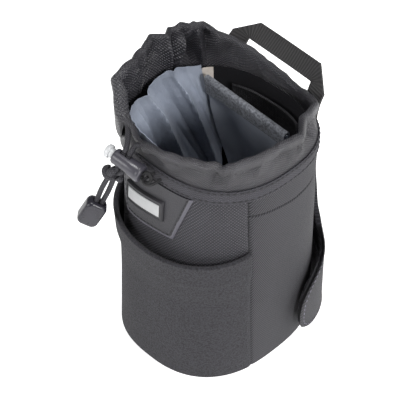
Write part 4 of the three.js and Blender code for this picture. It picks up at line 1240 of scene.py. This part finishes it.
patch_cloth = cloth_mesh(120, 70, patch_shape, PATCH_FLAT)
patch = piece("label_patch_leather", patch_cloth, LEATHER, "leather", "pouch", "label_patch", thick=0.5)
paint(patch, LEATHER_EDGE, lambda x, y: border_depth(2 * x / PATCH_FLAT[0] - 1, y / PATCH_FLAT[1]) < 2.2)


def patch_line(side_from, side_to, t_from, t_to):
    def point(share, offset):
        return patch_point(mix(side_from, side_to, share), mix(t_from, t_to, share), offset)
    return stitch_line(point, PATCH_OUT - 0.05)


patch_lines = [
    patch_line(-0.9, -0.91, 0.98, 0.08), patch_line(-0.86, 0.86, 0.08, 0.08),
    patch_line(0.9, 0.91, 0.08, 0.98),
]
stitches("label_patch_stitches", patch_lines, THREAD, "leather", "pouch", dash=2.2, pitch=3.0, radius=0.28)


def tile_mesh(half_w, half_h, low, high, rim, columns):
    """A raised tile on the patch with softened sides and an optional raised rim"""
    def shape(s, t):
        x = half_w * (2 * s - 1)
        z = PLATE_Z + PATCH_SLOPE * x + half_h * (2 * t - 1)
        depth = min(half_w - abs(x), half_h * (1 - abs(2 * t - 1)))
        fall = (high - low) * (1 - ease(depth, 0, 0.5))
        lip = rim * (1 - ease(depth, 1.2, 1.6))
        return face(-1, PLATE_X + x, z, high - fall - rim + lip)
    return cloth_mesh(columns, columns // 2, shape, (2 * half_w, 2 * half_h))


plate_tile = tile_mesh(16.4, 7.2, 1.65, 3.3, 0.4, 90)
piece("label_plate_rubber", plate_tile, RUBBER, "rubber", "pouch", "label_plate", thick=0.4)
inset_tile = tile_mesh(13.8, 4.2, 3.05, 3.4, 0, 60)
piece("label_inset_face", inset_tile, INSET, "inset", "pouch", "label_inset", thick=0.2)


# Grab handle: two legs up the back, folded at the corners into a flat band that leans back
HANDLE_X = -7.0
HANDLE_HALF = 25.9
WEB_W = 12.5
WEB_T = 1.6
CREASE_Z = SEAM_Z + 14.4
ROOT_Z = SEAM_Z - 12
CREASE_Y = face(1, HANDLE_X, CREASE_Z).y + 6
HANDLE_TILT = (27, 50)
HANDLE_WRAP = (1, 2.5)
HANDLE_SLOPE = 0.1
HANDLE_CORNER = 3.0


def handle_crease(reach):
    """The fold line between a leg and the band, drawn in towards the body past the inner edge"""
    past = max(0.0, abs(reach) - HANDLE_HALF) / WEB_W
    wrap = past * HANDLE_WRAP[0 if reach < 0 else 1]
    return Vector((HANDLE_X + reach, CREASE_Y - wrap, CREASE_Z - HANDLE_SLOPE * reach))


def handle_leg(reach, share):
    top = handle_crease(reach)
    root_y = face_y(1, top.x, ROOT_Z, BAND_OUT + GAP + WEB_T / 2)
    return Vector((top.x, mix(root_y, top.y, share ** 3), mix(ROOT_Z, top.z, share)))


def handle_band(reach, along):
    tilt = math.radians(mix(*HANDLE_TILT, clamp((reach / HANDLE_HALF + 1) / 2)))
    return handle_crease(reach) + Vector((0, along * math.cos(tilt), along * math.sin(tilt)))


def handle_stations():
    """Inner and outer edge of the webbing, from one root over the band to the other"""
    outer = HANDLE_HALF + WEB_W
    half = WEB_W / 2

    def rise(sign):
        return sampled(lambda u: (handle_leg(sign * HANDLE_HALF, u), handle_leg(sign * outer, u)), 6)

    def corner(sign):
        return [
            (handle_band(sign * (HANDLE_HALF - GAP), GAP), handle_band(sign * (outer - half), half)),
            (handle_band(sign * (HANDLE_HALF - HANDLE_CORNER), GAP), handle_band(sign * HANDLE_HALF, WEB_W)),
        ]

    middle = [(handle_band(reach, GAP), handle_band(reach, WEB_W)) for reach in (-14, -7, 0, 7, 14)]
    return [*rise(-1), *corner(-1), *middle, *reversed(rise(1) + corner(1))]


stations = handle_stations()


def handle_shape(s, t):
    low, high, part = step_of(stations, t)
    return low[0].lerp(high[0], part).lerp(low[1].lerp(high[1], part), s)


handle = piece(
    "handle_webbing", cloth_mesh(10, 176, handle_shape, (WEB_W, 124)), WEBBING, "webbing", None,
    "handle", thick=WEB_T - 0.1, side=0.0, sharp=50
)
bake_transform(handle)


# Belt flap: sewn to the back at its top, a strap that leaves room for a belt, and a wide wrapping foot
FLAP_EDGE = [
    (40, 6), (58, 8), (69.5, 11), (75.5, 16.5), (77, 26), (75.5, 36), (70, 44), (61, 49.5), (47, 52.5),
    (36, 56.5), (30.5, 65), (28.5, 90), (28, 117), (28, 131),
]
BELT_STEPS = 150
EDGE_ROW = 3.4
BELT_THREAD_RUN = (8, 138)
BELT_LOOP_RUN = (14, 58)
BELT_HINGE_Z = SEAM_Z - 32
HINGE_RUN = 16.0
STRAP_FOOT_Z = 58.0
STRAP_RUN = 12.0
FLAP_LOOP_OUT = 4.0
FLAP_FOOT_IN = FLAP_LOOP_OUT + 0.6
BELT_GAP = 2.0
BELT_T = 3.4
SEWN_GAP = 0.45
STRAP_TOP_GAP = 0.8
STRAP_BOW = 3.4
belt_edge = route([(deg, z, 0) for deg, z in FLAP_EDGE], BELT_STEPS)


def belt_point(side, deg, z, depth):
    hinge = ease(z, BELT_HINGE_Z - HINGE_RUN, BELT_HINGE_Z)
    strap = ease(z, STRAP_FOOT_Z, STRAP_FOOT_Z + STRAP_RUN) * (1 - hinge)
    on_wall_at = wall(180 + deg * side, z, mix(FLAP_FOOT_IN, SEWN_GAP, hinge) + depth)
    lift = clamp((z - STRAP_FOOT_Z - STRAP_RUN) / (BELT_HINGE_Z - STRAP_FOOT_Z - STRAP_RUN))
    strap_y = wall(180, z, mix(BELT_GAP, STRAP_TOP_GAP, lift) + depth).y - STRAP_BOW * side * side
    return Vector((on_wall_at.x, mix(on_wall_at.y, strap_y, strap), z))


def belt_shape(s, t):
    side = 2 * s - 1
    deg, z, _ = belt_edge[round(t * BELT_STEPS)]
    from_edge = min((1 - abs(side)) * deg, 90 * t)
    rolled = 0.35 * ridge(from_edge, 1.2, 1.0) - 0.5 * ridge(from_edge, 0, 0.5)
    groove = 0.25 * ridge(from_edge, EDGE_ROW, 0.6)
    return belt_point(side, deg, z, BELT_T + (rolled - groove))


belt = piece(
    "belt_flap_cloth", cloth_mesh(120, BELT_STEPS, belt_shape, (120, 135)), TWILL, "twill", None,
    "belt_flap", "belt_flap_anchor", thick=BELT_T - 0.1, edge=DARK_TIE_AND_EDGE_SHADE
)
# Only the foot's edge keeps the near-black, as painted shade
for cell in belt.data.polygons:
    if cell.center.z > STRAP_FOOT_Z * MM:
        cell.material_index = 0


def belt_line(side):
    def line(share):
        deg, z, _ = belt_edge[round(mix(*BELT_THREAD_RUN, share))]
        p = belt_point(side * (1 - EDGE_ROW / deg), deg, z, BELT_T + 0.1)
        return p, wall(180 + deg * side, z, 20) - wall(180 + deg * side, z, 0)
    return line


belt_thread = stitches(
    "belt_flap_stitches", [belt_line(-1), belt_line(1)], GREY_THREAD, "twill", None,
    dash=2.2, pitch=3.4, radius=0.3
)
for soft in (belt, belt_thread):
    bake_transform(soft)


def belt_loop_shape(s, t):
    deg, z, _ = belt_edge[round(mix(*BELT_LOOP_RUN, t))]
    return wall(180 + (deg - 3) * (2 * s - 1), z, FLAP_LOOP_OUT)


piece(
    "belt_loop_tape", cloth_mesh(80, 28, belt_loop_shape, (120, 34)), BLACK_LOOPS, "loop", "belt_flap",
    "belt_flap_loop", thick=0.7
)
piece(
    "belt_hook_tape", wall_strip(180, 12, 24, 28, 0.35, 0.85, 50, (50, 28)), HOOKS, "hook", "pouch",
    "belt_flap_hook", thick=0.8
)


# Cord lock frame: its right-hand end, its axis and the way the cords run through it
LOCK_AXIS = Vector((-0.955, -0.159, 0.25)).normalized()
LOCK_FALL = Vector((0, -0.35, -0.94))
LOCK_FOOT = face(-1, -4.4, SEAM_Z - 2.6, 7.2)
CORD_WAY = (LOCK_FALL - LOCK_AXIS * LOCK_FALL.dot(LOCK_AXIS)).normalized()
LOCK_SIDE = LOCK_AXIS.cross(CORD_WAY).normalized()
BARREL_R = 4.8
BARREL_L = 20.5
BORE_R = 3.4
SLOT_AT = 14.0
SLOT_L = 2 * CORD_D + GAP + 0.8
SLOT_W = 2 * CORD_D * 0.62
EYE_R = 3.0
EYE_WIRE_R = 1.15
TIE_R = 0.9
PAIR_STEP = (CORD_D + GAP) / 2
TRAVEL = 2.5


def set_frame(mesh, across, along, out, place):
    """Moves a mesh from its own axes, with the out axis given last, to its place"""
    bmesh.ops.transform(mesh, matrix=placing(across, along, out, place * MM), verts=mesh.verts)
    return mesh


def in_lock(mesh):
    """From a turned part's upright axis to the lock's axis"""
    return set_frame(mesh, LOCK_SIDE, CORD_WAY * -1, LOCK_AXIS, LOCK_FOOT)


def lock_point(side, along, way):
    return LOCK_FOOT + LOCK_SIDE * side + LOCK_AXIS * along + CORD_WAY * way


def slot_mesh(at, length):
    """The way for both cords, through the lock"""
    mesh = block_mesh(SLOT_W, 30, length, 0.2, 0.2)
    bmesh.ops.transform(mesh, matrix=Matrix.Translation((0, 0, at * MM)), verts=mesh.verts)
    return in_lock(mesh)


barrel_profile = [
    (0, 0.6), (1.6, 0.2), (4.2, 0), (4.7, 0.1), (5.2, 0.5), (5.5, 1.0), (5.6, 1.6), (5.6, 2.2), (5.5, 2.4),
    (5.5, 2.7), (5.58, 2.9), (BARREL_R, 10.4), (BARREL_R, 19.2), (4.7, 19.8), (4.4, 20.3), (4.0, BARREL_L),
    (3.6, BARREL_L), (BORE_R, 20.3), (BORE_R, 4.0), (0, 4.0),
]
barrel_mesh = in_lock(turned_mesh(barrel_profile, 56))
barrel = piece("cord_lock_body", barrel_mesh, GLOSS, "gloss", "pouch", "cord_lock_barrel")
cut_away(barrel, slot_mesh(SLOT_AT, SLOT_L))


def eye_point(share):
    turn = math.pi * (0.08 + 1.84 * share)
    return lock_point(0, EYE_R * math.cos(turn) - EYE_R, EYE_R * math.sin(turn))


piece("cord_lock_eye", tube_mesh(sampled(eye_point, 40), EYE_WIRE_R, 12), DARK_TIE_AND_EDGE_SHADE, "gloss", "pouch")

plunger_profile = [
    (0, 9), (2.7, 9), (3.1, 9.4), (3.1, 23.3), (3.9, 23.3), (4.2, 23.6), (4.2, 25.2), (4.0, 25.9),
    (3.4, 26.3), (2.2, 26.5), (0, 26.4),
]
plunger_mesh = in_lock(turned_mesh(plunger_profile, 48))
plunger = piece("cord_lock_button", plunger_mesh, PALE, "satin", "plunger", "cord_lock_plunger")
cut_away(plunger, slot_mesh(SLOT_AT + TRAVEL / 2, SLOT_L + TRAVEL))

SPRING_TURNS = 3
SPRING_R = 2.6
SPRING_WIRE_R = 0.25
SPRING_FROM = 4.6
SPRING_TO = 8.4


def coil_point(share):
    turn = 2 * math.pi * SPRING_TURNS * share
    along = mix(SPRING_FROM, SPRING_TO, share)
    return lock_point(SPRING_R * math.cos(turn), along, SPRING_R * math.sin(turn))


coil = tube_mesh(sampled(coil_point, SPRING_TURNS * 20), SPRING_WIRE_R, 8)
spring = piece("cord_lock_coil", coil, STEEL, "steel", "pouch", "cord_lock_spring")
lock_point(0, 4.2, 0) * MM
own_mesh(spring)

EYE = lock_point(0, -EYE_R, 0)


def band_face(x, z):
    return face(-1, x, z, BAND_OUT + 0.2)


anchor_points = [
    band_face(EYE.x + 0.4, EYE.z), EYE + Vector((0, 2.4, 0)), EYE, EYE + Vector((0.3, -2.6, -0.1)),
    EYE + Vector((2.7, -4.2, -0.4)), EYE + Vector((5.2, -2.4, -0.9)), EYE + Vector((5.9, 1.2, -1)),
    band_face(EYE.x + 5.9, EYE.z - 1),
]
tie_mesh = tube_mesh(route(anchor_points, 40), TIE_R, 12)
piece("cord_lock_tie", tie_mesh, DARK_TIE_AND_EDGE_SHADE, "webbing", "pouch", "cord_lock_anchor")


# Drawcord: round the channel, out through the notch and down into the lock
def channel_point(deg):
    roll_z = rim_z(deg) - ROLL_R
    return wall(deg, roll_z, collar_offset(deg, rim_z(deg) - roll_r(deg)) + roll_w(deg))


def entry(sign):
    return lock_point(0, SLOT_AT + sign * PAIR_STEP, -BARREL_R - 0.9)


def above(sign):
    return entry(sign) - CORD_WAY * 2 + Vector((0, 0.3, 0))


def leave(deg):
    roll_z = rim_z(deg) - ROLL_R
    return wall(deg, roll_z - 0.3, collar_offset(deg, roll_z) + ROLL_W + 2.6)


RING_FROM = NOTCH_DEG + NOTCH_HALF_DEG
RING_TO = NOTCH_DEG - NOTCH_HALF_DEG + 360
ring = sampled(lambda share: channel_point(mix(RING_FROM, RING_TO, share)), 90)
cord_points = [entry(-1), above(-1), leave(NOTCH_DEG + 6), *ring, leave(NOTCH_DEG - 6), above(1), entry(1)]
cord_line = route(cord_points, 420)
drawcord = piece("drawcord_braid", cord_mesh(cord_line), CORD, "cord", "pouch", "drawcord")
cord_line[0] * MM
length_of(cord_line) * MM
[p * MM for p in cord_line]

# Tail: two strands out of the lock, through the knot and into the cord end
EXIT = lock_point(0, SLOT_AT, BARREL_R)
KNOT = EXIT + Vector((-5.3, -1.6, -6.6))
END = KNOT + Vector((-15, -7, -36))
END_W = 12.5
END_H = 17.5
END_T = 8.4
END_WAY = Vector((-0.344, -0.409, -0.85)).normalized()
END_FACE = Vector((0.73, -0.68, 0.03))
END_FACE = (END_FACE - END_WAY * END_FACE.dot(END_WAY)).normalized()
END_SIDE = END_WAY.cross(END_FACE).normalized()
END_TOP = END - END_WAY * END_H / 2
TAIL_WAY = (END_TOP - KNOT).normalized()
end_body = []
for name, sign, fuller, softer in (("cord_end_front", 1, 0.6, 2.4), ("cord_end_back", -1, 5.0, 4.6)):
    shell = block_mesh(END_W + 0.8, END_H + 1.0, END_T + fuller, 4, softer)
    loose = bmesh.ops.bisect_plane(
        shell, geom=[*shell.verts, *shell.edges, *shell.faces], plane_co=(0, 0, sign * 0.15 * MM),
        plane_no=(0, 0, sign), clear_inner=True
    )["geom_cut"]
    bmesh.ops.holes_fill(shell, edges=[e for e in loose if isinstance(e, bmesh.types.BMEdge)], sides=0)
    set_frame(face_out(shell), END_SIDE, END_WAY, END_FACE, END)
    part = piece(name + "_shell", shell, SATIN, "satin", "cord_tail", name)
    mouth = block_mesh(2 * CORD_D + 1.1, 10.4, CORD_D + 0.6, 0.3, 0.3)
    cut_away(part, set_frame(mouth, END_SIDE, END_WAY, END_FACE, END_TOP))
    end_body.append(part)


KNOT_STEPS = 90
KNOT_CORD_R = 2.45


def knot_point(share):
    """A place on the doubled cord's turn through the stopper knot"""
    a = 2 * math.pi * (0.06 + 0.88 * share)
    across = (math.sin(a) + 2 * math.sin(2 * a)) * 1.65
    along = (math.cos(a) - 2 * math.cos(2 * a)) * 1.15
    out = -math.sin(3 * a) * 1.9
    return KNOT + END_SIDE * across + TAIL_WAY * along + END_FACE * out


knot_mesh = tube_mesh(even(sampled(knot_point, KNOT_STEPS), KNOT_STEPS), KNOT_CORD_R, 14)
knot = piece("drawcord_stopper", knot_mesh, CORD, "cord", "cord_tail", "drawcord_knot")

carried = {-1: [end_body[0], knot], 1: [end_body[1]]}
for side, sign in (("a", -1), ("b", 1)):
    shift = sign * PAIR_STEP
    lock_points = [lock_point(0, SLOT_AT + shift, way) for way in (-BARREL_R - 0.4, 0, BARREL_R - 1.4)]
    lock_mesh = cord_mesh(route(lock_points, 16))
    piece("lock_cord_" + side, lock_mesh, CORD, "cord", "pouch", "lock_strand_" + side)
    tail_points = [
        lock_point(0, SLOT_AT + shift, BARREL_R), lock_point(0, SLOT_AT + shift, BARREL_R + 2),
        KNOT + END_SIDE * shift * 0.9, KNOT + TAIL_WAY * 5 + END_SIDE * shift,
        (KNOT + TAIL_WAY * 4).lerp(END_TOP, 0.5) + END_SIDE * shift * 1.25,
        END_TOP + END_SIDE * shift, END_TOP + END_SIDE * shift + END_WAY * 4.7,
    ]
    tail_line = route(tail_points, 60)
    tail = piece("tail_cord_" + side, cord_mesh(tail_line), CORD, "cord", "cord_tail", "tail_strand_" + side)
    tail_line[0] * MM
    length_of(tail_line) * MM
    [p * MM for p in tail_line]
    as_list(carried[sign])


# Floor, light and camera
def pale_floor():
    f = Finish("pale_floor")
    speck = f.cloud(40, 2)
    white = f.tint(speck, (0.93, 0.93, 0.93), (0.95, 0.95, 0.95))
    return f.done(white, 0.9, Emission_Color=(1, 1, 1, 1), Emission_Strength=0.75)


floor_mesh = bmesh.new()
bmesh.ops.create_grid(floor_mesh, x_segments=1, y_segments=1, size=4)
studio_floor = mesh_object("studio_floor", floor_mesh)
studio_floor.data.materials.append(pale_floor())
LIGHT_AIM = Vector((0, 0, 0.1))


def soft_light(name, place, size, watts):
    lamp = bpy.data.lights.new(name, "AREA")
    lamp.shape = "DISK"
    lamp.size = size
    lamp.energy = watts
    obj = new_object(name, lamp)
    obj.location = place
    obj.rotation_euler = (LIGHT_AIM - Vector(place)).to_track_quat("-Z", "Y").to_euler()


soft_light("key", (1.5, -0.35, 0.85), 0.45, 20)
soft_light("fill", (-0.45, -1.4, 0.75), 0.7, 10)
soft_light("top", (0.1, -0.2, 1.6), 0.35, 11)
soft_light("back", (1.0, 1.1, 0.8), 0.6, 8)

sky = bpy.data.worlds.new("studio")
sky.use_nodes = True
sky.node_tree.nodes["Background"].inputs["Color"].default_value = (1, 1, 1, 1)
sky.node_tree.nodes["Background"].inputs["Strength"].default_value = 0.14
bpy.context.scene.world = sky
bpy.context.scene.view_settings.view_transform = "Standard"

CAMERA_AZ = math.radians(47.33)
CAMERA_EL = math.radians(43.32)
CAMERA_ROLL = math.radians(-2.0)
CAMERA_AIM = Vector((-0.01876, 0.00594, 0.08))
CAMERA_AWAY = 0.87812

lens = bpy.data.cameras.new("camera")
lens.lens = 126
lens.sensor_width = 36
lens.clip_end = 20
camera = new_object("camera", lens)
outward = Vector((math.sin(CAMERA_AZ), -math.cos(CAMERA_AZ), 0))
back = outward * math.cos(CAMERA_EL) + Vector((0, 0, math.sin(CAMERA_EL)))
level = Vector((math.cos(CAMERA_AZ), math.sin(CAMERA_AZ), 0))
rise = back.cross(level)
right = level * math.cos(CAMERA_ROLL) + rise * math.sin(CAMERA_ROLL)
up = rise * math.cos(CAMERA_ROLL) - level * math.sin(CAMERA_ROLL)
camera.matrix_world = placing(right, up, back, CAMERA_AIM + back * CAMERA_AWAY)
bpy.context.scene.camera = camera
